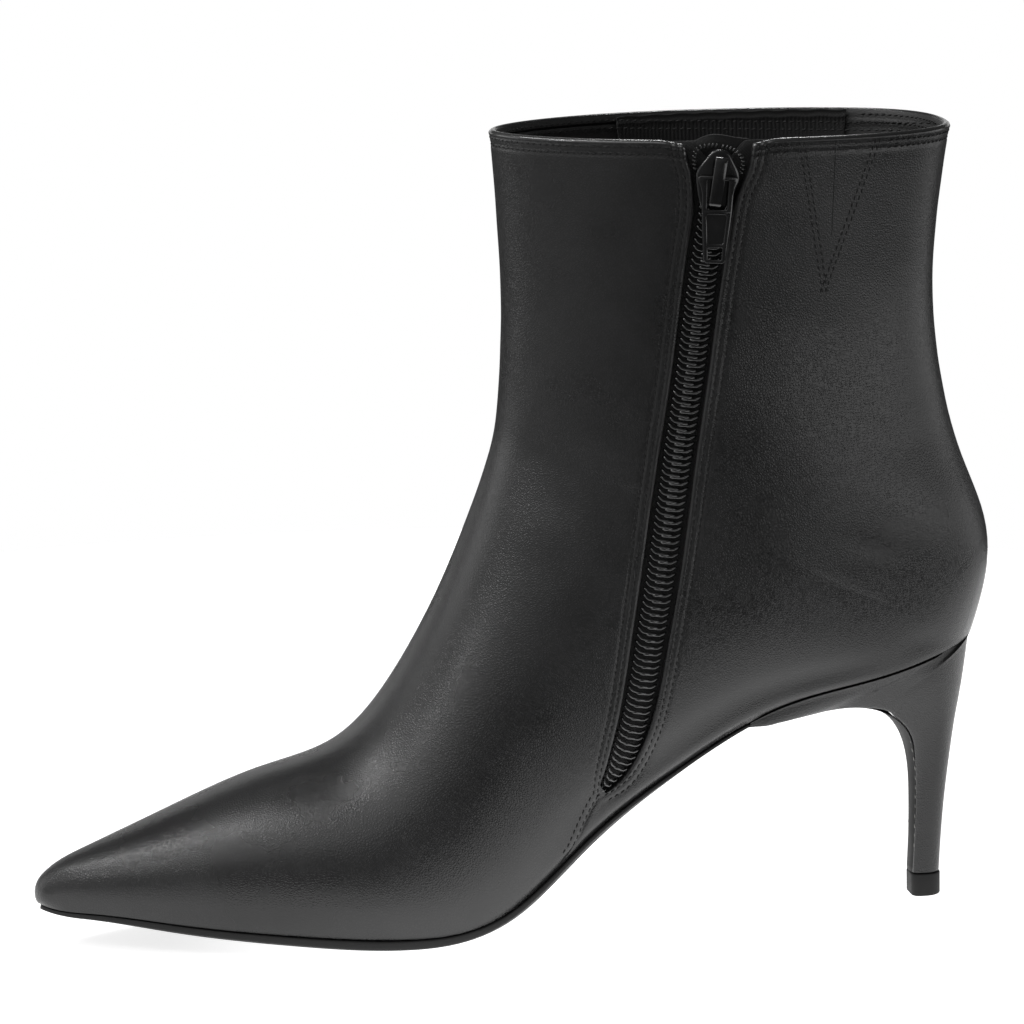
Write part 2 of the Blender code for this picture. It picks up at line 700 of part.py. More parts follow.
def make_top_lift(rubber, parent):
    """A D-shaped block: straight in front, round behind."""
    straight = LIFT_BACK - LIFT_HALF
    corner = LIFT_HALF - LIFT_CORNER
    outline = [(LIFT_FRONT, -corner), (LIFT_FRONT + LIFT_CORNER, -LIFT_HALF)]
    for angle in np.linspace(-math.pi / 2, math.pi / 2, LIFT_STEPS):
        outline.append((straight + LIFT_HALF * math.cos(angle), LIFT_HALF * math.sin(angle)))
    outline += [(LIFT_FRONT + LIFT_CORNER, LIFT_HALF), (LIFT_FRONT, corner)]
    lift = new_object("top_lift", prism(outline, 0.0, LIFT_HEIGHT), rubber, parent)
    add_bevel(lift, LIFT_BEVEL)
    return lift


def add_bevel(target, width):
    bevel = target.modifiers.new("edges", "BEVEL")
    bevel.width = width * MM
    bevel.segments = 1
    bevel.limit_method = "ANGLE"
    bevel.angle_limit = math.radians(BEVEL_ANGLE)


def laid_strip(skin, places, halves, beside, depths, side, across=5):
    """A strip on one side of the skin, between two depths; beside gives (x, z) off its middle line."""
    shares = np.linspace(-1, 1, across)
    layers = []
    for depth in depths:
        rows = []
        for place, half in zip(places, halves):
            row = [skin.inside(*beside(place, share * half), depth, side) for share in shares]
            rows.append(row)
        layers.append(rows)
    return slab(*layers)


def make_zip_tape(skin, zip_line, cloth, parent):
    places = np.linspace(zip_line.at_height(TAPE_TOP), zip_line.length - TAPE_SHORT, ZIP_ROWS)
    halves = [float(zip_line.half(p)) + TAPE_MARGIN for p in places]
    bm = laid_strip(skin, places, halves, zip_line.beside, TAPE_DEPTH, "medial")
    return new_object("zip_tape", bm, cloth, parent)


def make_zip_chain(skin, zip_line, coil, parent):
    places = np.linspace(zip_line.at_height(CHAIN_TOP), zip_line.at_height(CHAIN_FOOT), ZIP_ROWS)
    halves = [min(CHAIN_HALF, float(zip_line.half(p)) - CHAIN_CLEAR) for p in places]
    bm = laid_strip(skin, places, halves, zip_line.beside, CHAIN_DEPTH, "medial", across=3)
    return new_object("zip_chain", bm, coil, parent)


def make_zip_guard(skin, zip_line, leather, parent):
    """The flap behind the tape, narrow at the collar and wider below."""
    places = np.linspace(zip_line.at_height(GUARD_TOP), zip_line.at_height(GUARD_FOOT), GUARD_ROWS)
    widen = spline(column(GUARD, GUARD_COLUMNS, "share"), column(GUARD, GUARD_COLUMNS, "half"))
    halves = widen(np.linspace(0, 1, GUARD_ROWS))
    bm = laid_strip(skin, places, halves, zip_line.beside, GUARD_DEPTH, "medial")
    return new_object("zip_guard", bm, leather, parent)


def make_gore_elastic(skin, cloth, parent):
    heights = np.linspace(ELASTIC_TOP, ELASTIC_FOOT, ELASTIC_ROWS)
    halves = np.linspace(*ELASTIC_HALF, ELASTIC_ROWS)

    def beside(height, distance):
        return ELASTIC_MIDDLE + distance, height

    bm = laid_strip(skin, heights, halves, beside, ELASTIC_DEPTH, "lateral", across=ELASTIC_ROWS)
    return new_object("gore_elastic", bm, cloth, parent)


def zip_frame(skin, zip_line, parent):
    """An empty on the zip at the pull's pivot: X across, Y up along the zip, Z out of the boot."""
    out = Vector(skin.normal(PIVOT_X, PIVOT_Z, "medial"))
    where = zip_line.at_height(PIVOT_Z)
    ends = []
    for offset in (PULL_LENGTH, 0.0):
        x, z = zip_line.beside(where + offset, 0.0)
        ends.append(Vector((x, skin.y(x, z, "medial"), z)))
    up = (ends[1] - ends[0]).normalized()
    out = (out - up * out.dot(up)).normalized()
    turn = Matrix((up.cross(out), up, out)).transposed().to_4x4()
    place = Vector((PIVOT_X, skin.y(PIVOT_X, PIVOT_Z, "medial"), PIVOT_Z)) * MM
    frame = empty("zip_frame", parent)
    frame.matrix_world = Matrix.Translation(place) @ turn
    return frame


def make_slider(frame, metal):
    slider = new_object("zip_slider", prism(SLIDER_OUTLINE, *SLIDER_DEPTH), metal, frame)
    bm = prism(BRIDGE_PROFILE, -BRIDGE_HALF, BRIDGE_HALF)
    upright = Matrix(((0, 0, 1), (1, 0, 0), (0, 1, 0)))
    bmesh.ops.transform(bm, matrix=upright.to_4x4(), verts=bm.verts)
    bridge = new_object("slider_bridge", bm, None, frame)
    cut(slider, bridge, "UNION")
    add_bevel(slider, SLIDER_BEVEL)
    return slider


def make_pull(frame, metal):
    """The tab hangs from its top bar, which runs under the slider's bridge."""
    half = PULL_THICK / 2
    pull = new_object("zip_pull", prism(PULL_OUTLINE, -half, half), metal, frame)
    pull.location = (0, 0, PIVOT_RISE * MM)
    down = frame.matrix_world.to_3x3().transposed() @ Vector((0, 0, -1))
    pull.rotation_euler = (-math.atan2(down.z, -down.y), 0, 0)
    bm = bmesh.new()
    for _, width, upper, lower, through in PULL_CUTS:
        low = -2 * half if through else half - PULL_RECESS
        size = (2 * width, upper - lower, 3 * half - low)
        centre = (0, (upper + lower) / 2, (3 * half + low) / 2)
        scale = Matrix.Diagonal((*size, 1.0))
        bmesh.ops.create_cube(bm, size=MM, matrix=Matrix.Translation(Vector(centre) * MM) @ scale)
    cutter = new_object("pull_cutter", bm, None, pull)
    cut(pull, cutter)
    add_bevel(pull, PULL_BEVEL)
    return pull


def main():
    for old in list(bpy.data.objects):
        bpy.data.objects.remove(old, do_unlink=True)
    leather = material("black_leather", (0.012, 0.012, 0.013), 0.38)
    heel_leather = material("heel_leather", (0.012, 0.012, 0.013), 0.36)
    sole_leather = material("sole_black", (0.014, 0.014, 0.014), 0.5)
    insole_leather = material("insole_leather", (0.02, 0.019, 0.018), 0.6)
    rubber = material("lift_rubber", (0.015, 0.015, 0.015), 0.55)
    cloth = material("zip_cloth", (0.012, 0.012, 0.012), 0.85)
    elastic = material("elastic_cloth", (0.015, 0.015, 0.015), 0.85)
    coil = material("coil_plastic", (0.015, 0.015, 0.016), 0.35)
    metal = material("black_metal", (0.02, 0.02, 0.022), 0.22, 0.8)

    boot = empty("boot")
    edge = Edge()
    last = Last(edge)
    table = last.rows(STEPS_PER_ARC)
    skin = Skin(table)
    zip_line = ZipLine()

    make_upper(table, zip_line, leather, boot)
    make_outsole(edge, sole_leather, boot)
    make_insole(edge, insole_leather, boot)
    make_heel(edge, heel_leather, boot)
    make_top_lift(rubber, boot)
    make_zip_tape(skin, zip_line, cloth, boot)
    make_zip_chain(skin, zip_line, coil, boot)
    make_zip_guard(skin, zip_line, leather, boot)
    make_gore_elastic(skin, elastic, boot)
    frame = zip_frame(skin, zip_line, boot)
    make_slider(frame, metal)
    make_pull(frame, metal)


main()
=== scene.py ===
"""Looks of the heeled ankle boot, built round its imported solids.

The toe points along -X, the inner side with the zip lies along -Y and +Z is up. Tables are in
millimetres, as the solids were drawn; meshes are made in metres.
"""

import json
import math

import bmesh
import bpy
import numpy as np
from mathutils import Matrix, Vector, noise
from mathutils.bvhtree import BVHTree


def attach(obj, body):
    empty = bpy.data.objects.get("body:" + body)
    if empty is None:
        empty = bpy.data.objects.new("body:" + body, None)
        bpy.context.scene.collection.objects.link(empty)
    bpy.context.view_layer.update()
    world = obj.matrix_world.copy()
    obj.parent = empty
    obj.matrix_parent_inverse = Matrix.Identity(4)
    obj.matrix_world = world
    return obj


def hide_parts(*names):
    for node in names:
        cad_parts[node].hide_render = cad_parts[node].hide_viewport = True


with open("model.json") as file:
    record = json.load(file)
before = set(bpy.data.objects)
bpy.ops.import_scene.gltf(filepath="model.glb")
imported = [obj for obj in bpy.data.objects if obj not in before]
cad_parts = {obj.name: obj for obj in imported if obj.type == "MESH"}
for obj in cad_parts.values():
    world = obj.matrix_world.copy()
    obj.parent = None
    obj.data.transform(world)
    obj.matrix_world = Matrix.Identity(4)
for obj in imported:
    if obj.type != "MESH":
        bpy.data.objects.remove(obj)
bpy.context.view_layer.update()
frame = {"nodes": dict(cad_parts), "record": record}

MM = 0.001
SMALL = 1e-9
SIGN = {"medial": -1, "lateral": 1}

# The boot's last, as the solids have it
LENGTH = 250.0
COLLAR_HEIGHT = 204.2
WALL = 2.0
GAP = 0.3
NOSE_Z = 13.9
TIP_X = -123.8
TIP_Y = -4.0
HEEL_END_X = 120.3
SECTION_COLUMNS = (
    "name", "top_x", "top_z", "base_x", "base_z", "crest_y",
    "half_medial", "half_lateral", "widest", "top_round", "base_round",
)
SECTIONS = (
    ("nose", -LENGTH / 2, NOSE_Z, -LENGTH / 2, NOSE_Z, TIP_Y, -TIP_Y, TIP_Y, 0.50, 2.0, 2.0),
    ("toe_tip", -124.2, 17.0, TIP_X, 11.2, TIP_Y, 7.2, -0.8, 0.58, 2.0, 2.0),
    ("toe_nose", -121.6, 19.8, -120.8, 10.7, TIP_Y, 10.0, 1.9, 0.62, 2.1, 2.0),
    ("toe_cap", -112.0, 24.7, -111.6, 10.2, -4.0, 15.4, 7.8, 0.66, 2.2, 2.0),
    ("toe", -91.0, 32.9, -90.0, 8.2, -4.0, 25.0, 20.0, 0.70, 2.2, 2.0),
    ("vamp", -66.0, 42.4, -62.0, 6.0, -5.0, 34.5, 32.5, 0.74, 2.15, 2.0),
    ("ball", -47.0, 48.6, -33.0, 4.7, -5.0, 39.5, 39.5, 0.76, 2.1, 2.0),
    ("waist", -33.5, 61.8, -6.0, 10.0, -4.0, 37.5, 39.5, 0.72, 2.1, 2.0),
    ("arch", -22.0, 80.2, 14.0, 25.3, -2.0, 33.5, 37.5, 0.68, 2.1, 2.0),
    ("instep", -13.3, 98.5, 40.0, 42.7, 0.0, 31.0, 34.0, 0.64, 2.1, 2.0),
    ("shank", -8.0, 112.0, 64.0, 55.8, 0.0, 30.5, 32.5, 0.62, 2.1, 2.0),
    ("seat", -4.8, 121.5, 92.0, 62.6, 0.0, 31.0, 31.5, 0.60, 2.1, 2.0),
    ("counter", -3.0, 130.0, HEEL_END_X, 69.6, 0.0, 31.5, 31.5, 0.55, 2.1, 2.0),
    ("heel_curve", -2.1, 139.0, LENGTH / 2, 87.8, 0.0, 31.5, 31.5, 0.52, 2.1, 2.1),
    ("tendon", -1.5, 149.0, 118.0, 116.5, 0.0, 31.5, 31.5, 0.50, 2.1, 2.2),
    ("ankle", -1.1, 160.0, 110.7, 152.0, 0.0, 31.5, 31.5, 0.50, 2.05, 2.3),
    ("shaft", -1.7, 179.0, 111.0, 176.0, 0.0, 33.0, 33.0, 0.50, 1.95, 2.4),
    ("collar", -3.4, COLLAR_HEIGHT, 114.4, 203.4, 0.0, 35.0, 35.0, 0.50, 1.85, 2.6),
)
TIP_SECTION = "toe_tip"
HEEL_SECTION = "counter"
OUTLINE_COLUMNS = ("name", "x", "medial", "lateral")
OUTLINE = (
    ("tip", TIP_X, -TIP_Y, TIP_Y),
    ("tip_turn", -121.0, 8.6, 0.6),
    ("toe_cap", -111.0, 14.6, 7.4),
    ("toe", -89.0, 23.6, 19.2),
    ("vamp", -60.0, 33.0, 31.5),
    ("medial_ball", -30.0, 37.5, 37.5),
    ("lateral_ball", -5.0, 33.5, 38.0),
    ("waist", 20.0, 26.5, 32.5),
    ("shank", 50.0, 23.0, 27.0),
    ("seat", 88.0, 23.0, 23.5),
    ("heel_side", 107.0, 17.5, 17.6),
    ("heel_turn", 117.2, 8.8, 8.8),
    ("heel_end", HEEL_END_X, 0.0, 0.0),
)

# Outsole and the flap down the front of the heel
SOLE_COLUMNS = ("name", "x", "margin", "edge", "crown", "power", "rise")
SOLE = (
    ("tip", TIP_X, -0.3, 1.0, 0.4, 4.0, 0.0),
    ("toe", -100.0, 0.2, 1.5, 1.4, 5.0, 0.0),
    ("vamp", -62.0, 0.5, 2.0, 2.2, 6.0, 0.0),
    ("tread", -36.0, 0.6, 2.3, 2.3, 6.0, 0.0),
    ("tread_end", -16.0, 0.5, 1.9, 2.8, 6.0, 0.1),
    ("waist", 10.0, 0.5, 1.1, 4.2, 4.0, 0.4),
    ("shank", 34.0, 0.3, 1.0, 3.2, 3.6, 0.4),
    ("joint", 57.0, 0.0, 0.8, 1.0, 3.0, 0.1),
)
FLAP_COLUMNS = ("name", "x", "z", "half", "edge", "crown")
FLAP = (
    ("under_tongue", 63.0, 51.8, 19.8, 0.7, 0.4),
    ("tongue", 69.4, 52.6, 17.6, 0.5, 0.1),
    ("tongue_root", 76.0, 53.3, 16.2, 0.4, 0.0),
    ("breast_top", 84.5, 53.8, 14.6, 0.3, 0.1),
    ("breast_turn", 92.4, 52.6, 12.8, 0.25, 0.4),
    ("breast_curve", 98.0, 49.6, 10.4, 0.2, 0.7),
    ("breast_high", 102.4, 44.9, 7.9, 0.2, 0.9),
    ("breast", 104.8, 37.0, 5.1, 0.2, 1.1),
    ("breast_low", 105.3, 26.0, 3.9, 0.2, 1.2),
    ("stem", 105.1, 15.5, 3.5, 0.2, 1.2),
    ("lift", 104.7, 6.3, 3.4, 0.2, 1.2),
)
SOLE_STEPS = 110
SOLE_STEP_POWER = 1.35
FLAP_STEPS = 70
FULL_CROWN_HALF = 8.0
FULL_EDGE_HALF = 2.0
FLAP_LEAD = 8
# Section of the sole's edge: distance in from its side, and depth below its top as a share of its thickness
EDGE_PROFILE = (
    (0.55, 0.0), (0.2, 0.03), (0.05, 0.10), (0.0, 0.22), (0.0, 0.45),
    (0.02, 0.66), (0.08, 0.82), (0.2, 0.93), (0.45, 1.0),
)
SOLE_ACROSS = 15

# Heel and its top lift
STEM_COLUMNS = ("name", "front_x", "front_z", "back_x", "back_z", "front_half", "side_half", "widest")
STEM_ROWS = (
    ("lift_end", 104.5, 6.4, 112.1, 6.4, 3.8, 4.7, 0.45),
    ("stem_low", 105.0, 15.8, 112.7, 16.0, 3.9, 4.9, 0.45),
    ("stem", 105.3, 26.3, 113.7, 27.0, 4.3, 5.6, 0.45),
    ("stem_high", 104.8, 37.2, 115.1, 38.5, 5.6, 7.2, 0.48),
    ("flare", 102.6, 45.2, 116.6, 49.0, 8.4, 9.8, 0.50),
    ("cup", 98.3, 50.0, 118.2, 57.5, 11.6, 12.8, 0.50),
)
SEAT_COLUMNS = ("name", "front_x", "front_z", "back_x", "front_half", "side_half", "widest")
SEAT_ROWS = (
    ("seat_end", 92.6, 53.1, 120.2, 14.6, 16.4, 0.45),
    ("seat_back", 84.7, 54.2, 114.0, 17.4, 18.4, 0.50),
    ("seat", 76.2, 53.8, 100.0, 19.6, 21.0, 0.60),
    ("tongue", 69.4, 52.9, 84.0, 21.4, 22.6, 0.70),
    ("tongue_end", 63.2, 52.1, 70.5, 22.5, 23.0, 0.70),
    ("tongue_tip", 57.6, 52.0, 57.9, 22.7, 22.8, 0.70),
)
SEAT_LAP = -0.25
SEAT_RISE = 0.8
SEAT_RISE_FROM = (107.0, 114.0)
HEEL_STEPS = 12
HEEL_ARC = 56
HEEL_SHARP_ANGLE = 50.0
# How much squarer the heel's back becomes below the seat and on it
BACK_BELOW_SEAT = 0.25
BACK_ON_SEAT = 0.75
BACK_SEAT_RUN = 3.0
LIFT_HEIGHT = 6.0
LIFT_FRONT = 104.2
LIFT_BACK = 112.4
LIFT_HALF = 4.7
LIFT_CORNER = 2.2
LIFT_CORNER_STEPS = 8
LIFT_BACK_STEPS = 28

# Zip: the middle of its slot on the inner side and half its width, read more finely than in the solids
ZIP_COLUMNS = ("name", "x", "z", "half")
ZIP = (
    ("above_collar", 49.2, 209.0, 9.0),
    ("collar", 49.0, 202.1, 8.3),
    ("slider_top", 48.9, 197.0, 7.3),
    ("slider", 48.2, 192.2, 5.9),
    ("slider_foot", 47.4, 185.6, 5.0),
    ("pull", 46.1, 177.0, 4.9),
    ("pull_foot", 44.7, 167.4, 4.8),
    ("shaft", 42.5, 150.5, 4.7),
    ("ankle", 38.6, 125.0, 4.8),
    ("instep", 34.8, 100.0, 5.0),
    ("quarter", 30.2, 74.0, 4.9),
    ("arch", 26.0, 54.0, 4.6),
    ("turn", 22.3, 44.6, 3.5),
    ("end", 17.0, 37.2, 0.5),
)
# The seam that carries on from the zip's foot to the edge of the sole
SEAM = ((18.4, 38.6), (16.3, 36.0), (13.6, 31.2), (10.2, 24.6), (6.3, 15.6), (4.5, 11.0))
EDGE_ROLL = 0.9
PIVOT_X = 48.5
PIVOT_Z = 195.3


def column(table, columns, name):
    """One named column of a table, as an array."""
    return np.array([row[columns.index(name)] for row in table], float)


def spline(knots, values, start="free", end="free"):
    """A cubic spline through values at knots. A flat end starts or stops with no slope."""
    x = np.asarray(knots, float)
    y = np.asarray(values, float)
    step = np.diff(x)
    slope = np.diff(y) / step
    count = len(x)
    matrix = np.eye(count)
    right = np.zeros(count)
    for i in range(1, count - 1):
        matrix[i, i - 1 : i + 2] = step[i - 1], 2 * (step[i - 1] + step[i]), step[i]
        right[i] = 6 * (slope[i] - slope[i - 1])
    if start == "flat":
        matrix[0, :2] = 2, 1
        right[0] = 6 * slope[0] / step[0]
    if end == "flat":
        matrix[-1, -2:] = 1, 2
        right[-1] = -6 * slope[-1] / step[-1]
    bend = np.linalg.solve(matrix, right)

    def at(where):
        where = np.asarray(where, float)
        i = np.clip(np.searchsorted(x, where) - 1, 0, count - 2)
        left = x[i + 1] - where
        gone = where - x[i]
        curve = (bend[i] * left**3 + bend[i + 1] * gone**3) / (6 * step[i])
        first = (y[i] / step[i] - bend[i] * step[i] / 6) * left
        second = (y[i + 1] / step[i] - bend[i + 1] * step[i] / 6) * gone
        return curve + first + second

    return at


def run_along(*coordinates):
    """Distance along a line of points, from the first."""
    return np.r_[0, np.cumsum(np.sqrt(sum(np.diff(c) ** 2 for c in coordinates)))]


def smooth_step(value, low, high):
    share = np.clip((np.asarray(value, float) - low) / (high - low), 0, 1)
    return share * share * (3 - 2 * share)


def along_run(where, run, points):
    """Points at distances along a line of points with its run."""
    return np.c_[tuple(np.interp(where, run, values) for values in points.T)]


def unit(vectors):
    """One vector, or rows of them, brought to length one."""
    return vectors / np.linalg.norm(vectors, axis=-1, keepdims=True)


def section_index(name):
    return [row[0] for row in SECTIONS].index(name)


class Edge:
    """The last's edge over the sole: its plan and its height."""

    SAMPLES = 800
    NUDGE = 0.05

    def __init__(self):
        x = column(OUTLINE, OUTLINE_COLUMNS, "x")
        medial = column(OUTLINE, OUTLINE_COLUMNS, "medial")
        lateral = column(OUTLINE, OUTLINE_COLUMNS, "lateral")
        run = run_along(x, (medial + lateral) / 2)
        self.length = run[-1]
        self.x = spline(run, x, "flat", "flat")
        self.medial = spline(run, medial)
        self.lateral = spline(run, lateral)
        foot = SECTIONS[section_index(TIP_SECTION) : section_index(HEEL_SECTION) + 1]
        self.height = spline(
            column(foot, SECTION_COLUMNS, "base_x"), column(foot, SECTION_COLUMNS, "base_z")
        )
        self.samples = np.linspace(0, self.length, self.SAMPLES)

    def half(self, x, side):
        curve = self.medial if side == "medial" else self.lateral
        return np.interp(x, self.x(self.samples), curve(self.samples))

    def at_x(self, x):
        return float(np.interp(x, self.x(self.samples), self.samples))

    def moved(self, where, inset):
        """The edge's two points at one place along it, moved inwards in plan, as (x, y)."""
        nudge = self.NUDGE
        points = []
        for curve, sign in ((self.medial, -1), (self.lateral, 1)):
            if where <= 0.0:
                inward = np.array([1.0, 0.0])
            elif where >= self.length:
                inward = np.array([-1.0, 0.0])
            else:
                low = max(where - nudge, 0.0)
                high = min(where + nudge, self.length)
                along = np.array([self.x(high) - self.x(low), sign * (curve(high) - curve(low))])
                forward = unit(along)
                inward = np.array([forward[1], -forward[0]]) * sign
            points.append(np.array([self.x(where), sign * curve(where)]) + inset * inward)
        return points


class Last:
    """The boot's outer form: a fan of sections from the toe to the collar."""

    def __init__(self, edge):
        self.edge = edge
        values = {name: column(SECTIONS, SECTION_COLUMNS, name) for name in SECTION_COLUMNS[1:]}
        tops = run_along(values["top_x"], values["top_z"])
        bases = run_along(values["base_x"], values["base_z"])
        self.stations = (tops + bases) / 2
        turn = section_index(HEEL_SECTION)
        self.turn = self.stations[turn]
        self.curves = {}
        for name, row in values.items():
            self.curves[name] = spline(self.stations, row, "flat" if name == "top_x" else "free")
        tip = section_index(TIP_SECTION)
        self.tip = self.stations[tip]
        foot = slice(tip, turn + 1)
        back = slice(turn, None)
        self.foot_x = spline(self.stations[foot], values["base_x"][foot], "flat", "flat")
        self.back_x = spline(self.stations[back], values["base_x"][back], "flat")
        self.back_z = spline(self.stations[back], values["base_z"][back], "flat")

    def base(self, station):
        """Foot of a section: down the nose, along the sole's edge to the heel, then up the back line."""
        if station < self.tip:
            angle = math.pi / 2 * station / self.tip
            x = TIP_X - (TIP_X + LENGTH / 2) * math.cos(angle)
            return np.array([x, NOSE_Z + (float(self.edge.height(TIP_X)) - NOSE_Z) * math.sin(angle)])
        if station <= self.turn:
            x = float(self.foot_x(station))
            return np.array([x, float(self.edge.height(x))])
        return np.array([float(self.back_x(station)), float(self.back_z(station))])

    def section(self, station):
        """The sizes of one section, with its ends in the middle plane."""
        value = {name: float(curve(station)) for name, curve in self.curves.items()}
        value["top"] = np.array([value["top_x"], value["top_z"]])
        value["base"] = self.base(station)
        for side in SIGN:
            on_sole = station <= self.turn
            value["foot_" + side] = float(self.edge.half(value["base"][0], side)) if on_sole else 0.0
        return value

    @staticmethod
    def arc(value, shares, side):
        """Points of a section; a share runs from 0 at its top to 1 at its base."""
        shares = np.asarray(shares, float)
        crest = value["crest_y"]
        reach = SIGN[side] * value["half_" + side] - crest
        foot = SIGN[side] * value["foot_" + side]
        widest = value["widest"]
        power = 2 / value["top_round"]
        angle = shares * math.pi
        along_top = widest * (1 - np.clip(np.cos(angle), 0, 1) ** power)
        y_top = crest + reach * np.clip(np.sin(angle), 0, 1) ** power
        power = 2 / value["base_round"]
        kept = max((foot - crest) / reach, 0.0) if reach else 0.0
        stop = math.acos(kept ** (1 / power))
        turn = np.clip(2 * shares - 1, 0, 1) * stop
        along_low = widest + (1 - widest) * (np.sin(turn) / math.sin(stop)) ** power
        y_low = crest + reach * np.clip(np.cos(turn), 0, 1) ** power
        along = np.where(shares <= 0.5, along_top, along_low)
        line = value["top"] + along[:, None] * (value["base"] - value["top"])
        return np.c_[line[:, 0], np.where(shares <= 0.5, y_top, y_low), line[:, 1]]


class ZipLine:
    """The zip's middle line on the inner side, from above the collar down to its end."""

    SAMPLES = 600
    NUDGE = 0.5

    def __init__(self):
        x = column(ZIP, ZIP_COLUMNS, "x")
        z = column(ZIP, ZIP_COLUMNS, "z")
        run = run_along(x, z)
        self.length = run[-1]
        self.x = spline(run, x)
        self.z = spline(run, z)
        self.half = spline(run, column(ZIP, ZIP_COLUMNS, "half"))
        self.samples = np.linspace(0, self.length, self.SAMPLES)

    def at_height(self, z):
        return float(np.interp(-z, -self.z(self.samples), self.samples))

    def across(self, where):
        """Direction across the zip, towards the heel."""
        step_x = self.x(where + self.NUDGE) - self.x(where - self.NUDGE)
        step_z = self.z(where + self.NUDGE) - self.z(where - self.NUDGE)
        return np.array([-step_z, step_x]) / math.hypot(step_x, step_z)

    def beside(self, where, distance):
        """The point at a distance from the middle line, as (x, z)."""
        return np.array([self.x(where), self.z(where)]) + distance * self.across(where)


edge = Edge()
last = Last(edge)
zip_line = ZipLine()


# Mesh helpers
WELD_STEPS_PER_MM = 2000
MERGE_DISTANCE = 0.000004
LEAST_EDGE = 0.000001
SHARP_ANGLE = 40.0


def vertex_normals(points, faces):
    """Outward directions at the points, from the faces round each."""
    normals = np.zeros_like(points)
    for face in faces:
        first, second, third, fourth = (points[face[k % len(face)]] for k in (0, 1, 2, -1))
        if len(face) == 4:
            normal = np.cross(third - first, fourth - second)
        else:
            normal = np.cross(second - first, third - first)
        normals[list(face)] += normal
    size = np.linalg.norm(normals, axis=1)
    size[size == 0] = 1
    return normals / size[:, None]


def weld_grid(points, skip=None):
    """Merges points of a grid that meet: gives points, faces and the grid's numbers into the points."""
    rows, columns = points.shape[:2]
    flat = points.reshape(-1, 3)
    keys = np.round(flat * WELD_STEPS_PER_MM).astype(np.int64)
    _, first, number = np.unique(keys, axis=0, return_index=True, return_inverse=True)
    number = number.reshape(rows, columns)
    faces = []
    for i in range(rows - 1):
        for j in range(columns - 1):
            if skip is not None and skip[i, j]:
                continue
            corners = (number[i, j], number[i + 1, j], number[i + 1, j + 1], number[i, j + 1])
            kept = [c for k, c in enumerate(corners) if c != corners[k - 1]]
            if len(set(kept)) == len(kept) and len(kept) >= 3:
                faces.append(tuple(int(c) for c in kept))
    return flat[first], faces, number


def new_object(name, data):
    """An object in the scene, at the origin."""
    made = bpy.data.objects.new(name, data)
    bpy.context.scene.collection.objects.link(made)
    return made


def plain_mesh(holder):
    """What an object comes to when evaluated, as a mesh of its own; the object goes."""
    graph = bpy.context.evaluated_depsgraph_get()
    mesh = bpy.data.meshes.new_from_object(holder.evaluated_get(graph))
    bpy.data.objects.remove(holder, do_unlink=True)
    return mesh


def make_piece(name, points, faces, materials, which=None):
    """A smooth mesh object at the origin, its points given in millimetres."""
    mesh = bpy.data.meshes.new(name)
    mesh.from_pydata([tuple(p) for p in np.asarray(points) * MM], [], faces)
    for material in materials:
        mesh.materials.append(material)
    if which is not None:
        mesh.polygons.foreach_set("material_index", which)
    mesh.shade_smooth()
    mesh.update()
    return new_object(name, mesh)


def closed_loft(loops):
    """Points and faces of closed loops, all running the same way round, with both ends capped."""
    count = len(loops[0])
    points = np.concatenate(loops)
    faces = []
    for i in range(len(loops) - 1):
        for j in range(count):
            near, far = i * count + j, i * count + (j + 1) % count
            faces.append((near, near + count, far + count, far))
    faces.append(tuple(range(count)))
    faces.append(tuple(range(len(points) - 1, len(points) - 1 - count, -1)))
    return points, faces


def face_out(made):
    """Merges doubles and turns every face of a closed mesh outwards."""
    bm = bmesh.new()
    bm.from_mesh(made.data)
    bmesh.ops.remove_doubles(bm, verts=bm.verts, dist=MERGE_DISTANCE)
    bmesh.ops.dissolve_degenerate(bm, edges=bm.edges, dist=LEAST_EDGE)
    bmesh.ops.recalc_face_normals(bm, faces=bm.faces)
    bm.to_mesh(made.data)
    bm.free()
    made.data.shade_smooth()
    return made


def finish_piece(made, body, slot, *nodes):
    """Says which body a piece rides on and which solids it stands for, hiding those; the finish it takes
    (slot) is not used.
    """
    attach(made, body)
    if nodes:
        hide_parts(*nodes)


# Materials
def add_node(tree, kind, values=None, **settings):
    """A node with its settings, whose inputs take numbers or other nodes' outputs."""
    made = tree.nodes.new(kind)
    for name, value in settings.items():
        setattr(made, name, value)
    for key, value in (values or {}).items():
        if isinstance(value, bpy.types.NodeSocket):
            tree.links.new(value, made.inputs[key])
        else:
            made.inputs[key].default_value = value
    return made


def new_group(name, inputs, outputs):
    """A shader node group that takes a place and named numbers: the group, its inputs and its end."""
    group = bpy.data.node_groups.new(name, "ShaderNodeTree")
    group.interface.new_socket("Vector", in_out="INPUT", socket_type="NodeSocketVector")
    for label, value in inputs.items():
        socket = group.interface.new_socket(label, in_out="INPUT", socket_type="NodeSocketFloat")
        socket.default_value = value
    for label in outputs:
        group.interface.new_socket(label, in_out="OUTPUT", socket_type="NodeSocketFloat")
    return group, group.nodes.new("NodeGroupInput").outputs, group.nodes.new("NodeGroupOutput")


def end_group(group, end, **values):
    """Links the values to the group's outputs of the same names."""
    for name, value in values.items():
        group.links.new(value, end.inputs[name])
    return group


def math_node(tree, operation, first, second):
    return add_node(tree, "ShaderNodeMath", {0: first, 1: second}, operation=operation).outputs[0]


def weighted(tree, first, first_share, second, second_share):
    """Two values added up by their shares."""
    left = math_node(tree, "MULTIPLY", first, first_share)
    right = math_node(tree, "MULTIPLY", second, second_share)
    return math_node(tree, "ADD", left, right)


def noise_node(tree, where, scale, detail, roughness=0.5):
    """Outputs of a noise pattern: its value first, then its colour."""
    values = {"Vector": where, "Scale": scale, "Detail": detail, "Roughness": roughness}
    return add_node(tree, "ShaderNodeTexNoise", values).outputs


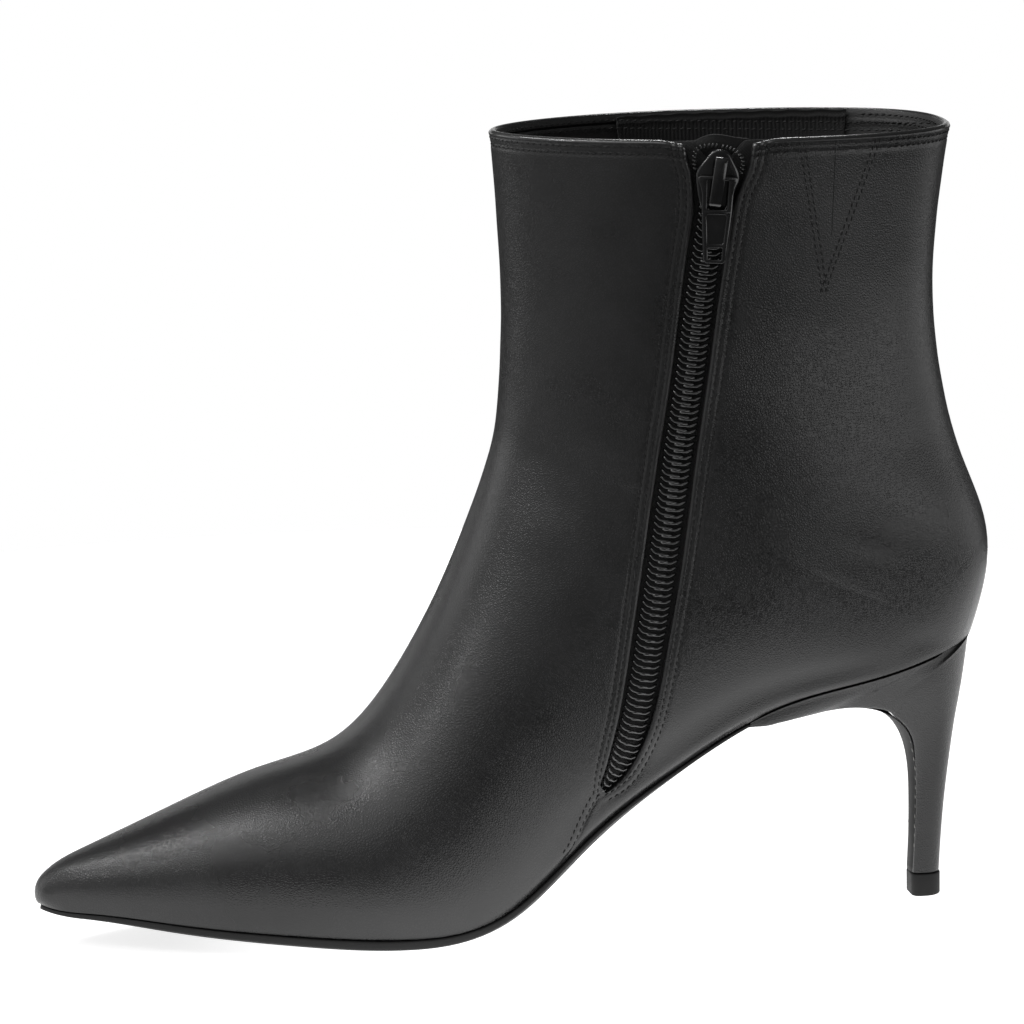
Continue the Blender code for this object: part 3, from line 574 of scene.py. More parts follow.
def map_range(tree, value, low, high, to_low, to_high, soft=False):
    values = {0: value, 1: low, 2: high, 3: to_low, 4: to_high}
    kind = "SMOOTHSTEP" if soft else "LINEAR"
    return add_node(tree, "ShaderNodeMapRange", values, interpolation_type=kind).outputs[0]


SWIRL_REACH = 0.0006
CELL_EDGE = 0.32
WEAVE_TONES = (0.2, 1.6)
TONE_RANGE = (0.25, 0.75)


def make_grain_group():
    """Leather: small plump cells parted by fine creases, pores, and clouds of tone."""
    group, given, end = new_group(
        "leather_grain", {"Cells per metre": 1500.0, "Clouds per metre": 45.0}, ("Height", "Tone", "Wear")
    )
    where = given["Vector"]
    swirl = noise_node(group, where, scale=420.0, detail=1.0)["Color"]
    nudge = {0: swirl, 1: (SWIRL_REACH,) * 3, 2: where}
    nudged = add_node(group, "ShaderNodeVectorMath", nudge, operation="MULTIPLY_ADD").outputs[0]
    spots = {"Vector": nudged, "Scale": given["Cells per metre"]}
    cells = add_node(group, "ShaderNodeTexVoronoi", spots, feature="DISTANCE_TO_EDGE")
    plump = map_range(group, cells.outputs["Distance"], 0.0, CELL_EDGE, 0.0, 1.0, soft=True)
    pores = noise_node(group, where, scale=5200.0, detail=2.0)[0]
    clouds = noise_node(group, where, scale=given["Clouds per metre"], detail=3.0, roughness=0.55)[0]
    height = weighted(group, plump, 0.75, pores, 0.35)
    tone = weighted(group, clouds, 0.75, plump, 0.25)
    return end_group(group, end, Height=height, Tone=tone, Wear=clouds)


def make_weave_group():
    """Cloth: warp and weft threads that pass over each other, with a little unevenness."""
    group, given, end = new_group("thread_weave", {"Threads per metre": 2400.0}, ("Height", "Tone"))
    where = given["Vector"]
    threads = {0: where, "Scale": given["Threads per metre"]}
    scaled = add_node(group, "ShaderNodeVectorMath", threads, operation="SCALE").outputs[0]
    parts = add_node(group, "ShaderNodeSeparateXYZ", {0: scaled}).outputs
    waves = []
    for axis in ("X", "Z"):
        waves.append(math_node(group, "SINE", math_node(group, "MULTIPLY", parts[axis], math.pi), 0.0))
    over = math_node(group, "MULTIPLY_ADD", math_node(group, "MULTIPLY", *waves), 0.5)
    over.node.inputs[2].default_value = 0.5
    fuzz = noise_node(group, where, scale=1800.0, detail=2.0)[0]
    height = math_node(group, "ADD", over, math_node(group, "MULTIPLY", fuzz, 0.5))
    tone = map_range(group, math_node(group, "ADD", over, fuzz), *WEAVE_TONES, 0.0, 1.0)
    return end_group(group, end, Height=height, Tone=tone)


def make_smudge_group():
    """Handling: soft patches of more and less gloss, and fine scuffs."""
    group, given, end = new_group(
        "handled_gloss", {"Patches per metre": 120.0, "Scuffs per metre": 1600.0}, ("Patches", "Scuffs")
    )
    where = given["Vector"]
    patches = noise_node(group, where, scale=given["Patches per metre"], detail=3.0)[0]
    scuffs = noise_node(group, where, scale=given["Scuffs per metre"], detail=4.0, roughness=0.7)[0]
    return end_group(group, end, Patches=patches, Scuffs=scuffs)


grain_group = make_grain_group()
weave_group = make_weave_group()
smudge_group = make_smudge_group()


class Finish:
    """A material being built: its tree, its shader and its object coordinates."""

    def __init__(self, name):
        self.material = bpy.data.materials.new(name)
        self.material.use_nodes = True
        self.tree = self.material.node_tree
        self.shader = self.tree.nodes["Principled BSDF"]
        self.place = add_node(self.tree, "ShaderNodeTexCoord").outputs["Object"]

    def group(self, group, **values):
        made = add_node(self.tree, "ShaderNodeGroup", node_tree=group)
        self.tree.links.new(self.place, made.inputs["Vector"])
        for name, value in values.items():
            made.inputs[name.replace("_", " ")].default_value = value
        return made.outputs

    def colour(self, tone, *colours):
        """Base colour between a dark and a light colour, by a tone from 0 to 1."""
        ramp = add_node(self.tree, "ShaderNodeValToRGB", {0: tone})
        for stop, colour, position in zip(ramp.color_ramp.elements, colours, TONE_RANGE):
            stop.color = (*colour, 1.0)
            stop.position = position
        self.tree.links.new(ramp.outputs["Color"], self.shader.inputs["Base Color"])

    def rough(self, mask, low, high):
        value = map_range(self.tree, mask, *TONE_RANGE, low, high)
        self.tree.links.new(value, self.shader.inputs["Roughness"])

    def bump(self, height, depth):
        """Relief of a depth in metres."""
        made = add_node(self.tree, "ShaderNodeBump", {"Height": height, "Distance": depth, "Strength": 1.0})
        self.tree.links.new(made.outputs["Normal"], self.shader.inputs["Normal"])

    def settings(self, **values):
        for name, value in values.items():
            self.shader.inputs[name.replace("_", " ")].default_value = value
        return self.material


def leather(name, dark, light, rough, cells, depth, **settings):
    finish = Finish(name)
    grain = finish.group(grain_group, Cells_per_metre=cells)
    finish.colour(grain["Tone"], dark, light)
    finish.rough(grain["Wear"], *rough)
    finish.bump(grain["Height"], depth)
    return finish.settings(**settings)


def cloth(name, dark, light, threads, depth, rough):
    finish = Finish(name)
    weave = finish.group(weave_group, Threads_per_metre=threads)
    finish.colour(weave["Tone"], dark, light)
    finish.bump(weave["Height"], depth)
    return finish.settings(Roughness=rough, Sheen_Weight=0.04, Sheen_Roughness=0.5)


def handled(name, dark, light, rough, patches, scuffs, depth, **settings):
    finish = Finish(name)
    smudge = finish.group(smudge_group, Patches_per_metre=patches, Scuffs_per_metre=scuffs)
    finish.colour(smudge["Patches"], dark, light)
    finish.rough(smudge["Patches"], *rough)
    finish.bump(smudge["Scuffs"], depth)
    return finish.settings(**settings)


def grey(value):
    return (value, value, value)


upper_leather = leather(
    "upper_leather_black", (0.004, 0.004, 0.0041), (0.014, 0.014, 0.0144), rough=(0.25, 0.32),
    cells=1500.0, depth=0.00004,
)
heel_leather = leather(
    "heel_leather_black", (0.008, 0.008, 0.0082), (0.012, 0.012, 0.0123), rough=(0.33, 0.41),
    cells=1500.0, depth=0.00008,
)
lining_leather = leather(
    "lining_leather_black", grey(0.006), grey(0.010), rough=(0.5, 0.6), cells=1200.0, depth=0.00006
)
# Burnished leather for the collar's rolled rim: glossier, and lighter in colour, which paints part of the
# highlight along the rim.
collar_rim_burnish_and_highlight = leather(
    "collar_rim_burnished_and_highlight", grey(0.012), grey(0.02), rough=(0.14, 0.2), cells=2100.0, depth=0.00001,
    Specular_IOR_Level=0.8,
)
guard_leather = leather(
    "guard_leather_black", grey(0.004), grey(0.007), rough=(0.5, 0.6), cells=1500.0, depth=0.00005,
    Specular_IOR_Level=0.2,
)
insole_leather = leather(
    "insole_leather_black", (0.014, 0.0135, 0.013), (0.022, 0.021, 0.02), rough=(0.6, 0.7),
    cells=900.0, depth=0.00008,
)
sole_leather = handled(
    "sole_edge_black", grey(0.010), grey(0.016), rough=(0.58, 0.72),
    patches=90.0, scuffs=1500.0, depth=0.00005, Specular_IOR_Level=0.25,
)
lift_rubber = handled(
    "lift_rubber_black", grey(0.006), grey(0.010), rough=(0.55, 0.7),
    patches=300.0, scuffs=2500.0, depth=0.00006, Specular_IOR_Level=0.3,
)
coil_nylon = handled(
    "coil_nylon_black", (0.005, 0.005, 0.0052), (0.009, 0.009, 0.0093), rough=(0.08, 0.14),
    patches=500.0, scuffs=3000.0, depth=0.000006,
    Specular_IOR_Level=0.6, Coat_Weight=0.5, Coat_Roughness=0.05,
)
thread = handled(
    "thread_black", grey(0.004), grey(0.008), rough=(0.5, 0.65),
    patches=900.0, scuffs=6000.0, depth=0.00004, Specular_IOR_Level=0.26,
)
lacquer = handled(
    "slider_lacquer_black", (0.004, 0.004, 0.0042), (0.007, 0.007, 0.0074), rough=(0.10, 0.17),
    patches=350.0, scuffs=2600.0, depth=0.000004, Coat_Weight=0.35, Coat_Roughness=0.06,
)
# Pale dried glue, whose paleness also paints the highlight along the heel flap's edge.
glue_and_highlight = handled(
    "dried_glue_and_highlight", (0.10, 0.10, 0.095), (0.22, 0.215, 0.205), rough=(0.3, 0.45),
    patches=900.0, scuffs=3000.0, depth=0.00002,
)
zip_cloth = cloth("zip_tape_black", grey(0.003), grey(0.007), threads=2600.0, depth=0.00010, rough=0.85)
elastic_cloth = cloth("elastic_black", grey(0.002), grey(0.006), threads=2400.0, depth=0.00008, rough=0.8)


class Skin:
    """The smooth outer form, without the slot, seen along Y from one side."""

    FAR = 200.0
    NUDGE = 2.0
    ROWS = 260
    SHARES = 41

    def __init__(self):
        shares = np.linspace(0, 1, self.SHARES)
        rows = []
        for station in np.linspace(0, last.stations[-1], self.ROWS):
            value = last.section(station)
            inner = last.arc(value, shares[::-1], "medial")
            outer = last.arc(value, shares[1:], "lateral")
            rows.append(np.r_[inner, outer])
        points, faces, _ = weld_grid(np.array(rows))
        self.tree = BVHTree.FromPolygons([Vector(p) for p in points], faces)

    def y(self, x, z, side):
        hit = self.tree.ray_cast(Vector((x, SIGN[side] * self.FAR, z)), Vector((0, -SIGN[side], 0)))[0]
        return hit.y

    def normal(self, x, z, side):
        slope_x = (self.y(x + self.NUDGE, z, side) - self.y(x - self.NUDGE, z, side)) / (2 * self.NUDGE)
        slope_z = (self.y(x, z + self.NUDGE, side) - self.y(x, z - self.NUDGE, side)) / (2 * self.NUDGE)
        return unit(np.array([-slope_x, 1.0, -slope_z])) * SIGN[side]

    def inside(self, x, z, depth, side):
        """The point at a depth below the form."""
        reach = min(z, COLLAR_HEIGHT - 2 * self.NUDGE)
        point = np.array([x, self.y(x, reach, side), z])
        return point - depth * self.normal(x, reach, side)


skin = Skin()


# Upper: a grid of points that follows the collar and both edges of the zip's slot
EDGE_BAND = np.array([0.0, 0.35, 0.7, 1.1, 1.5, 1.9, 2.3, 2.8, 3.3, 3.8, 4.4, 5.2, 6.2, 7.6])
FOOT_BAND = np.array([4.0, 3.1, 2.4, 1.8, 1.3, 0.9, 0.5, 0.2, 0.0])
SIDE_STEPS = 28
OUTER_STEPS = 60
SEAM_LEAST = 1.2
SEAM_FOOT = 10.0
SEAM_OPEN = 45.0
SEAM_SHARE = 0.35
WALL_SHARE = 0.1
BAND_SHARE = 0.4
ARC_SAMPLES = 281
NO_GAP = 99.0
BACK_AXIS = 92.0
BACK_RADIUS = 27.0
BACK_SPREAD = 5.5
BACK_FROM = (93.0, 102.0)
BACK_TOP = (98.0, 116.0)
BACK_TRUE = 7.0
BACK_ANGLES = np.radians(np.arange(-125.0, 126.0, 3.0))
BACK_HEIGHTS = np.arange(58.0, 130.0, 1.5)
BACK_OUTSIDE = 100.0
BACK_DEEPEST = 20.0
BACK_NEAR = 2.2
BURNISH_AND_HIGHLIGHT_ABOVE = 200.0
COLLAR_BAND = np.arange(0.0, 9.0, 0.45)
COLLAR_CLEAR = 0.6
ROW_STEP = 2.0
FINE_ROW_STEPS = {"toe_tip": 0.7, "toe_nose": 0.8, "toe_cap": 1.4, "counter": 1.2, "heel_curve": 1.2}
SLOT_SAMPLES = 240
SLOT_ROLL_END = 7.0


def row_stations():
    """Places of the upper's rows, closer at the nose, at the turn of the heel and at the collar."""
    top = last.stations[-1] - EDGE_ROLL
    stops = last.stations
    rows = [0.0]
    for i in range(1, len(stops)):
        step = FINE_ROW_STEPS.get(SECTIONS[i][0], ROW_STEP)
        count = max(int(round((stops[i] - stops[i - 1]) / step)), 2)
        rows.extend(np.linspace(stops[i - 1], stops[i], count + 1)[1:])
    below = [row for row in rows if row < top - COLLAR_BAND[-1] - COLLAR_CLEAR]
    return np.r_[below, top - COLLAR_BAND[::-1]]


def slot_edge(side):
    """One edge of the slot where the leather starts to roll over, from above the collar to its end."""
    where = np.linspace(0, zip_line.length, SLOT_SAMPLES)
    roll = EDGE_ROLL * smooth_step(zip_line.length - where, 0.0, SLOT_ROLL_END)
    away = side * (zip_line.half(where) + roll)
    return np.array([zip_line.beside(w, a) for w, a in zip(where, away)])


def crossing(line, start, end):
    """Share along a section's straight line where a line of points crosses it, or None."""
    along = end - start
    offset = line - start
    side = along[0] * offset[:, 1] - along[1] * offset[:, 0]
    share = offset @ along / (along @ along) if along @ along > 0 else side * 0
    for k in range(len(line) - 1):
        if side[k] * side[k + 1] <= 0 and side[k] != side[k + 1]:
            part = side[k] / (side[k] - side[k + 1])
            at = share[k] + part * (share[k + 1] - share[k])
            if 0 <= at <= 1:
                return at
    return None


def spread(total, steps, band=(0.0,), to_foot=False):
    """Distances from the start of a run: close beside it, even beyond, and close again at the foot."""
    band = np.array(band) * min(1.0, BAND_SHARE * total / max(band[-1], 1.0))
    if not to_foot:
        return np.r_[band, np.linspace(band[-1], total, steps + 1)[1:]]
    tail = min(FOOT_BAND[0], BAND_SHARE * (total - band[-1])) / FOOT_BAND[0] * FOOT_BAND
    even = np.linspace(band[-1], total - tail[0], steps - len(FOOT_BAND) + 2)[1:]
    return np.r_[band, even, total - tail[1:]]


def ends_of(station):
    """Top and foot of a section, as (x, z)."""
    top = np.array([float(last.curves[name](station)) for name in ("top_x", "top_z")])
    return top, last.base(station)


def upper_grid():
    """Points of the upper's outside, with each point's distance from the slot and the seam below it."""
    shares = np.linspace(0, 1, ARC_SAMPLES)
    front_edge, back_edge, seam = slot_edge(-1), slot_edge(1), np.array(SEAM)
    grid, gaps, slots, seams, walls, feet = [], [], [], [], [], []
    stations = row_stations()
    seam_end = min(s for s in stations if crossing(seam, *ends_of(s)) is not None)
    for station in stations:
        value = last.section(station)
        inner = last.arc(value, shares, "medial")
        outer = last.arc(value, shares, "lateral")
        inner_run, outer_run = run_along(*inner.T), run_along(*outer.T)
        total = inner_run[-1]
        line = value["base"] - value["top"]
        along = (inner[:, [0, 2]] - value["top"]) @ line / max(line @ line, SMALL)
        ends = value["top"], value["base"]
        found = [crossing(path, *ends) for path in (front_edge, back_edge, seam)]
        is_slot = found[0] is not None and found[1] is not None and found[0] < found[1]
        is_seam = not is_slot and found[2] is not None
        if is_slot:
            front_at, back_at = (float(np.interp(f, along, inner_run)) for f in found[:2])
        else:
            if is_seam:
                left = max(total - float(np.interp(found[2], along, inner_run)), SEAM_LEAST)
            else:
                opened = float(smooth_step(seam_end - station, 0, SEAM_OPEN))
                left = SEAM_LEAST + (SEAM_FOOT - SEAM_LEAST) * opened
            front_at = back_at = total - min(left, SEAM_SHARE * total)
        front_gap = spread(front_at, SIDE_STEPS, EDGE_BAND)
        back_gap = spread(total - back_at, SIDE_STEPS, EDGE_BAND, to_foot=True)
        back_part = (back_at + back_gap)[::-1]
        front_part = front_at - front_gap
        outer_part = spread(outer_run[-1], OUTER_STEPS, to_foot=True)[1:]
        at_inner = np.r_[back_part, front_part]
        grid.append(np.r_[along_run(at_inner, inner_run, inner), along_run(outer_part, outer_run, outer)])
        gap = np.r_[back_gap[::-1], front_gap, np.full(OUTER_STEPS, NO_GAP)]
        gaps.append(gap if is_slot or is_seam else np.full(len(gap), NO_GAP))
        slots.append(is_slot)
        seams.append(is_seam)
        walls.append(min(WALL, WALL_SHARE * total))
        feet.append(np.r_[total - at_inner, outer_run[-1] - outer_part])
    return [np.array(table) for table in (grid, gaps, slots, seams, walls, feet)]


# Stitch rows: distances from the folded edges of the collar and of the slot, top and foot of the slot
COLLAR_ROWS = (1.6, 3.4)
SLOT_ROWS_TOP = (1.8, 3.6)
SLOT_ROWS_FOOT = (1.3, 3.1)
SLOT_ROWS_RISE = (90.0, 170.0)
ROW_DEPTH = 0.2
ROW_WIDTH = 0.5
FOLD_RISE = 0.22
FOLD_WIDTH = 1.2
SLOT_FOLD_SHARE = 0.5
SEAM_DEPTH = 0.3
SEAM_WIDTH = 0.6
ROLL_FADE = (37.0, 45.0)
COLLAR_CALM = 6.0
# The collar dips beside the slot
DIP_DEPTH = 1.0
DIP_WIDTH = 3.6
DIP_REACH = 14.0
# Slow waves of the leather
WAVE_HEIGHT = 0.22
WAVE_RISE = (40.0, 120.0)
WAVE_LONG = 26.0
WAVE_SHORT = 10.0
WAVE_SHORT_SHARE = 0.35
# Beside the sole: where along the boot a form rises and fades; its height, distance from the foot and width
BOARD_ALONG = (-4.0, 22.0, 74.0, 100.0)
BOARD_RIDGE = (0.5, 3.2, 2.0)
BOARD_HOLLOW = (0.45, 9.0, 3.6)
TUCK_ALONG = (-22.0, 4.0, 50.0, 66.0)
TUCK_GROOVE = (0.35, 0.3, 1.4)
HEEL_SEAM_START = (56.0, 66.0)
HEEL_SEAM_EASE = (106.0, 114.0)
HEEL_SEAM_EASED = 0.6
HEEL_SEAM_TOP = (1.5, 3.5)
HEEL_SEAM_GROOVE = (0.6, 0.0, 0.6)
CREASE_ENDS = (0.04, 0.96)
# Soft creases of the leather: side, start and end as (x, z), half width and depth
CREASES = (
    ("medial", (80.0, 101.0), (99.0, 96.0), 2.6, 0.22),
    ("medial", (84.0, 106.0), (104.0, 103.0), 2.4, 0.16),
    ("medial", (72.0, 93.0), (90.0, 89.0), 3.0, 0.10),
    ("medial", (92.0, 132.0), (110.0, 140.0), 3.5, 0.25),
    ("medial", (90.0, 121.0), (113.0, 127.0), 3.2, 0.22),
    ("medial", (3.0, 128.0), (18.0, 120.0), 4.5, 0.28),
    ("medial", (0.0, 116.0), (17.0, 107.0), 4.5, 0.25),
    ("medial", (-8.0, 101.0), (12.0, 92.0), 5.0, 0.22),
    ("lateral", (88.0, 130.0), (110.0, 138.0), 3.5, 0.25),
    ("lateral", (88.0, 119.0), (113.0, 125.0), 3.2, 0.22),
    ("lateral", (2.0, 127.0), (20.0, 119.0), 4.5, 0.28),
    ("lateral", (-2.0, 113.0), (18.0, 104.0), 4.5, 0.25),
)


def trough(distance, width):
    return np.exp(-((distance / width) ** 2))


def ridge(distance, height, middle, width):
    return height * trough(distance - middle, width)


def up_and_down(x, start, full, waning, end):
    """From 0 up to 1, and down to 0 again."""
    return smooth_step(x, start, full) * (1 - smooth_step(x, waning, end))


def above_sole(x, z):
    """Height over the edge of the sole."""
    return z - edge.height(np.minimum(x, HEEL_END_X))


def crease_relief(points):
    """Depth of the listed creases at each point."""
    depth = np.zeros(len(points))
    for side, start, end, width, deep in CREASES:
        start, end = np.array(start), np.array(end)
        along = end - start
        offset = points[:, [0, 2]] - start
        share = offset @ along / (along @ along)
        near = start + np.clip(share, 0, 1)[:, None] * along
        distance = np.linalg.norm(points[:, [0, 2]] - near, axis=1)
        ends = np.sin(np.pi * np.clip(share, *CREASE_ENDS))
        depth += deep * ends * trough(distance, width) * (points[:, 1] * SIGN[side] > 0)
    return depth


def undulation(points):
    """The slow unevenness of leather on a shaft, none on the tight toe."""
    amount = WAVE_HEIGHT * smooth_step(points[:, 2], *WAVE_RISE)
    waves = []
    for point in points:
        short = noise.noise(Vector(point / WAVE_SHORT))
        waves.append(noise.noise(Vector(point / WAVE_LONG)) + WAVE_SHORT_SHARE * short)
    return amount * np.array(waves)


def board_relief(points, foot):
    """The insole board's edge pressing through beside the waist, a hollow above it, and the heel's seam."""
    x = points[:, 0]
    press = up_and_down(x, *BOARD_ALONG) * (ridge(foot, *BOARD_RIDGE) - ridge(foot, *BOARD_HOLLOW))
    tuck = up_and_down(x, *TUCK_ALONG) * ridge(foot, *TUCK_GROOVE)
    seam = smooth_step(x, *HEEL_SEAM_START) * (1 - HEEL_SEAM_EASED * smooth_step(x, *HEEL_SEAM_EASE))
    seam *= 1 - smooth_step(above_sole(x, points[:, 2]), *HEEL_SEAM_TOP)
    return press - tuck - seam * ridge(foot, *HEEL_SEAM_GROOVE)


def evened_back(points):
    """Evens the heel's back round an upright axis, where the turn of the sections would leave a crease."""
    known = []
    for angle in BACK_ANGLES:
        way = Vector((math.cos(angle), math.sin(angle), 0.0))
        for z in BACK_HEIGHTS:
            hit = skin.tree.ray_cast(Vector((BACK_AXIS, 0.0, z)) + BACK_OUTSIDE * way, -way)[0]
            if hit is not None and hit.x > BACK_AXIS - BACK_DEEPEST:
                known.append((BACK_RADIUS * angle, z, math.hypot(hit.x - BACK_AXIS, hit.y)))
    known = np.array(known)
    x, y, z = points.T
    angle = np.arctan2(y, x - BACK_AXIS)
    radius = np.hypot(x - BACK_AXIS, y)
    share = smooth_step(x, *BACK_FROM) * (1 - smooth_step(z, *BACK_TOP))
    share *= smooth_step(above_sole(x, z), 0.0, BACK_TRUE)
    moved = points.copy()
    for k in np.flatnonzero(share > 0):
        offset = known[:, :2] - (BACK_RADIUS * angle[k], z[k])
        distance = np.linalg.norm(offset, axis=1)
        near = distance < BACK_NEAR * BACK_SPREAD
        a, b = offset[near].T
        weight = np.exp(-0.5 * (distance[near] / BACK_SPREAD) ** 2)
        terms = np.c_[np.ones(len(a)), a, b, a * a, a * b, b * b] * weight[:, None]
        even = np.linalg.lstsq(terms, known[near, 2] * weight, rcond=None)[0][0]
        scale = 1 + share[k] * (even / radius[k] - 1)
        moved[k, 0] = BACK_AXIS + scale * (x[k] - BACK_AXIS)
        moved[k, 1] = scale * y[k]
    return moved


def slot_rows_at(height):
    """Distances of the slot's two rows of stitches from its edge, at a height."""
    share = smooth_step(height, *SLOT_ROWS_RISE)
    return [low + (high - low) * share - EDGE_ROLL for low, high in zip(SLOT_ROWS_FOOT, SLOT_ROWS_TOP)]


class Upper:
    """The leather upper's meshed outside and inside, and lines along them for stitches."""

    ROLL_STEPS = 6
    LINE_STEP = 0.8

    def __init__(self):
        grid, gaps, slots, seams, walls, feet = upper_grid()
        self.slots = slots
        self.sewn = slots | seams
        self.split = len(EDGE_BAND) + SIDE_STEPS
        step = np.linalg.norm(np.diff(grid, axis=0), axis=2)
        below = np.zeros(grid.shape[:2])
        below[:-1] = np.cumsum(step[::-1], axis=0)[::-1]
        beside_slot = trough(gaps, DIP_WIDTH) * slots[:, None]
        grid[:, :, 2] -= DIP_DEPTH * beside_slot * (1 - smooth_step(below, 0, DIP_REACH))
        skip = np.zeros((grid.shape[0] - 1, grid.shape[1] - 1), bool)
        skip[:, self.split - 1] = slots[:-1] & slots[1:]
        self.below, self.gaps = below, gaps
        points, self.faces, self.number = weld_grid(grid, skip)
        on_rows = [np.repeat(rows[:, None], grid.shape[1], 1) for rows in (slots, seams)]
        marks = (below, gaps, *on_rows, feet)
        flat = np.zeros((len(points), len(marks)))
        for k, mark in enumerate(marks):
            flat[self.number.ravel(), k] = mark.ravel()
        below, gap, on_slot, on_seam, foot = flat.T
        points = evened_back(points)
        normals = vertex_normals(points, self.faces)
        relief = undulation(points) * (1 - trough(below, COLLAR_CALM)) - crease_relief(points)
        relief += board_relief(points, foot)
        slot_fold = SLOT_FOLD_SHARE * on_slot * trough(gap, FOLD_WIDTH)
        relief += FOLD_RISE * (trough(below, FOLD_WIDTH) + slot_fold)
        relief -= SEAM_DEPTH * on_seam * trough(gap, SEAM_WIDTH)
        for row in COLLAR_ROWS:
            relief -= ROW_DEPTH * trough(below - row + EDGE_ROLL, ROW_WIDTH)
        for row in slot_rows_at(points[:, 2]):
            relief -= ROW_DEPTH * on_slot * trough(gap - row, ROW_WIDTH)
        self.points = points + relief[:, None] * normals
        self.normals = vertex_normals(self.points, self.faces)
        wall = np.zeros(len(points))
        wall[self.number.ravel()] = np.repeat(walls, grid.shape[1])
        self.wall = wall
        self.inner = self.points - wall[:, None] * self.normals
        rim = np.zeros(len(points), bool)
        rim[self.number[-1]] = True
        for j in (self.split - 1, self.split):
            rim[self.number[slots, j]] = True
        self.roll = EDGE_ROLL * np.where(rim, smooth_step(points[:, 2], *ROLL_FADE), 0.0)
        self.tree = BVHTree.FromPolygons([Vector(p) for p in self.points], self.faces)

    def mesh(self):
        """Outside, inside and the rolled rims between them: points, faces and each face's finish."""
        count = len(self.points)
        uses = {}
        for face in self.faces:
            for a, b in zip(face, face[1:] + face[:1]):
                uses.setdefault((min(a, b), max(a, b)), []).append((a, b, face))
        border = [found[0] for found in uses.values() if len(found) == 1]
        out = {}
        for a, b, face in border:
            corners = self.points[list(face[:3])]
            normal = np.cross(corners[1] - corners[0], corners[2] - corners[0])
            away = np.cross(self.points[b] - self.points[a], normal)
            away /= max(np.linalg.norm(away), SMALL)
            for v in (a, b):
                out[v] = out.get(v, 0) + away
        rings, extra = {}, []
        for v, away in out.items():
            away = away - self.normals[v] * (away @ self.normals[v])
            away = away / max(np.linalg.norm(away), SMALL)
            ring = [v]
            for angle in np.linspace(0, math.pi, self.ROLL_STEPS + 1)[1:-1]:
                lift = self.roll[v] * math.sin(angle) * away
                sink = 0.5 * self.wall[v] * (1 - math.cos(angle)) * self.normals[v]
                ring.append(2 * count + len(extra))
                extra.append(self.points[v] + lift - sink)
            rings[v] = ring + [count + v]
        faces = list(self.faces) + [tuple(count + c for c in reversed(face)) for face in self.faces]
        which = [0] * len(self.faces) + [1] * len(self.faces)
        for a, b, _ in border:
            for k in range(self.ROLL_STEPS):
                faces.append((rings[b][k], rings[a][k], rings[a][k + 1], rings[b][k + 1]))
                # Above this height the rim takes the burnished leather, whose lighter colour paints part of
                # its highlight.
                on_collar = self.points[a][2] > BURNISH_AND_HIGHLIGHT_ABOVE
                which.append(2 if on_collar and 0 < k < self.ROLL_STEPS - 1 else 0)
        return np.r_[self.points, self.inner, np.array(extra)], faces, which

    def collar_line(self, depth, columns, inside=False):
        """Points and directions along the collar, at a depth below its rim."""
        points, ways = [], []
        for j in columns:
            numbers = self.number[:, j]
            below = self.below[:, j] + EDGE_ROLL
            i = int(np.searchsorted(-below, -depth))
            part = (below[i - 1] - depth) / (below[i - 1] - below[i])
            source = self.inner if inside else self.points
            pair = source[numbers[i - 1]], source[numbers[i]]
            points.append(pair[0] + part * (pair[1] - pair[0]))
            ways.append(self.normals[numbers[i]] * (-1 if inside else 1))
        return np.array(points), np.array(ways)

    def slot_line(self, row, side):
        """Points and directions down one edge of the slot, for its first or second row of stitches."""
        points, ways = [], []
        for i in np.flatnonzero(self.sewn if side < 0 else self.slots)[::-1]:
            columns = np.arange(self.split, self.split + len(EDGE_BAND))
            if side > 0:
                columns = self.split - 1 - np.arange(len(EDGE_BAND))
            height = self.points[self.number[i, columns[0]]][2]
            gap = slot_rows_at(height)[row]
            where = self.gaps[i, columns]
            place = self.points[self.number[i, columns]]
            points.append([float(np.interp(gap, where, place[:, k])) for k in range(3)])
            ways.append(self.normals[self.number[i, columns[2]]])
        return np.array(points), np.array(ways)

    def side_line(self, line, side):
        """Points and directions along a line of (x, z), laid on one side."""
        line = np.array(line, float)
        run = run_along(*line.T)
        where = np.linspace(0, run[-1], max(int(run[-1] / self.LINE_STEP), 2))
        points, ways = [], []
        for x, z in zip(np.interp(where, run, line[:, 0]), np.interp(where, run, line[:, 1])):
            start = Vector((x, SIGN[side] * skin.FAR, z))
            hit, normal, _, _ = self.tree.ray_cast(start, Vector((0, -SIGN[side], 0)))
            if hit is not None:
                points.append(hit)
                ways.append(normal)
        return np.array(points), np.array(ways)


upper = Upper()
upper_points, upper_faces, upper_which = upper.mesh()
upper_finishes = (upper_leather, lining_leather, collar_rim_burnish_and_highlight)
upper_piece = make_piece("upper_shell", upper_points, upper_faces, upper_finishes, upper_which)


# Geometry Nodes: rows of stitches and the two halves of the zip's coil
def new_tree(name, inputs):
    """A geometry tree with named inputs: the tree, its inputs and points spread evenly along its lines."""
    tree = bpy.data.node_groups.new(name, "GeometryNodeTree")
    tree.interface.new_socket("Geometry", in_out="INPUT", socket_type="NodeSocketGeometry")
    for label, kind in inputs.items():
        tree.interface.new_socket(label, in_out="INPUT", socket_type="NodeSocket" + kind)
    tree.interface.new_socket("Geometry", in_out="OUTPUT", socket_type="NodeSocketGeometry")
    given = tree.nodes.new("NodeGroupInput").outputs
    line = add_node(tree, "GeometryNodeMeshToCurve", {"Mesh": given["Geometry"]}).outputs[0]
    pitch = {"Curve": line, "Length": given["Pitch"]}
    even = add_node(tree, "GeometryNodeResampleCurve", pitch, mode="LENGTH")
    return tree, given, even.outputs[0]


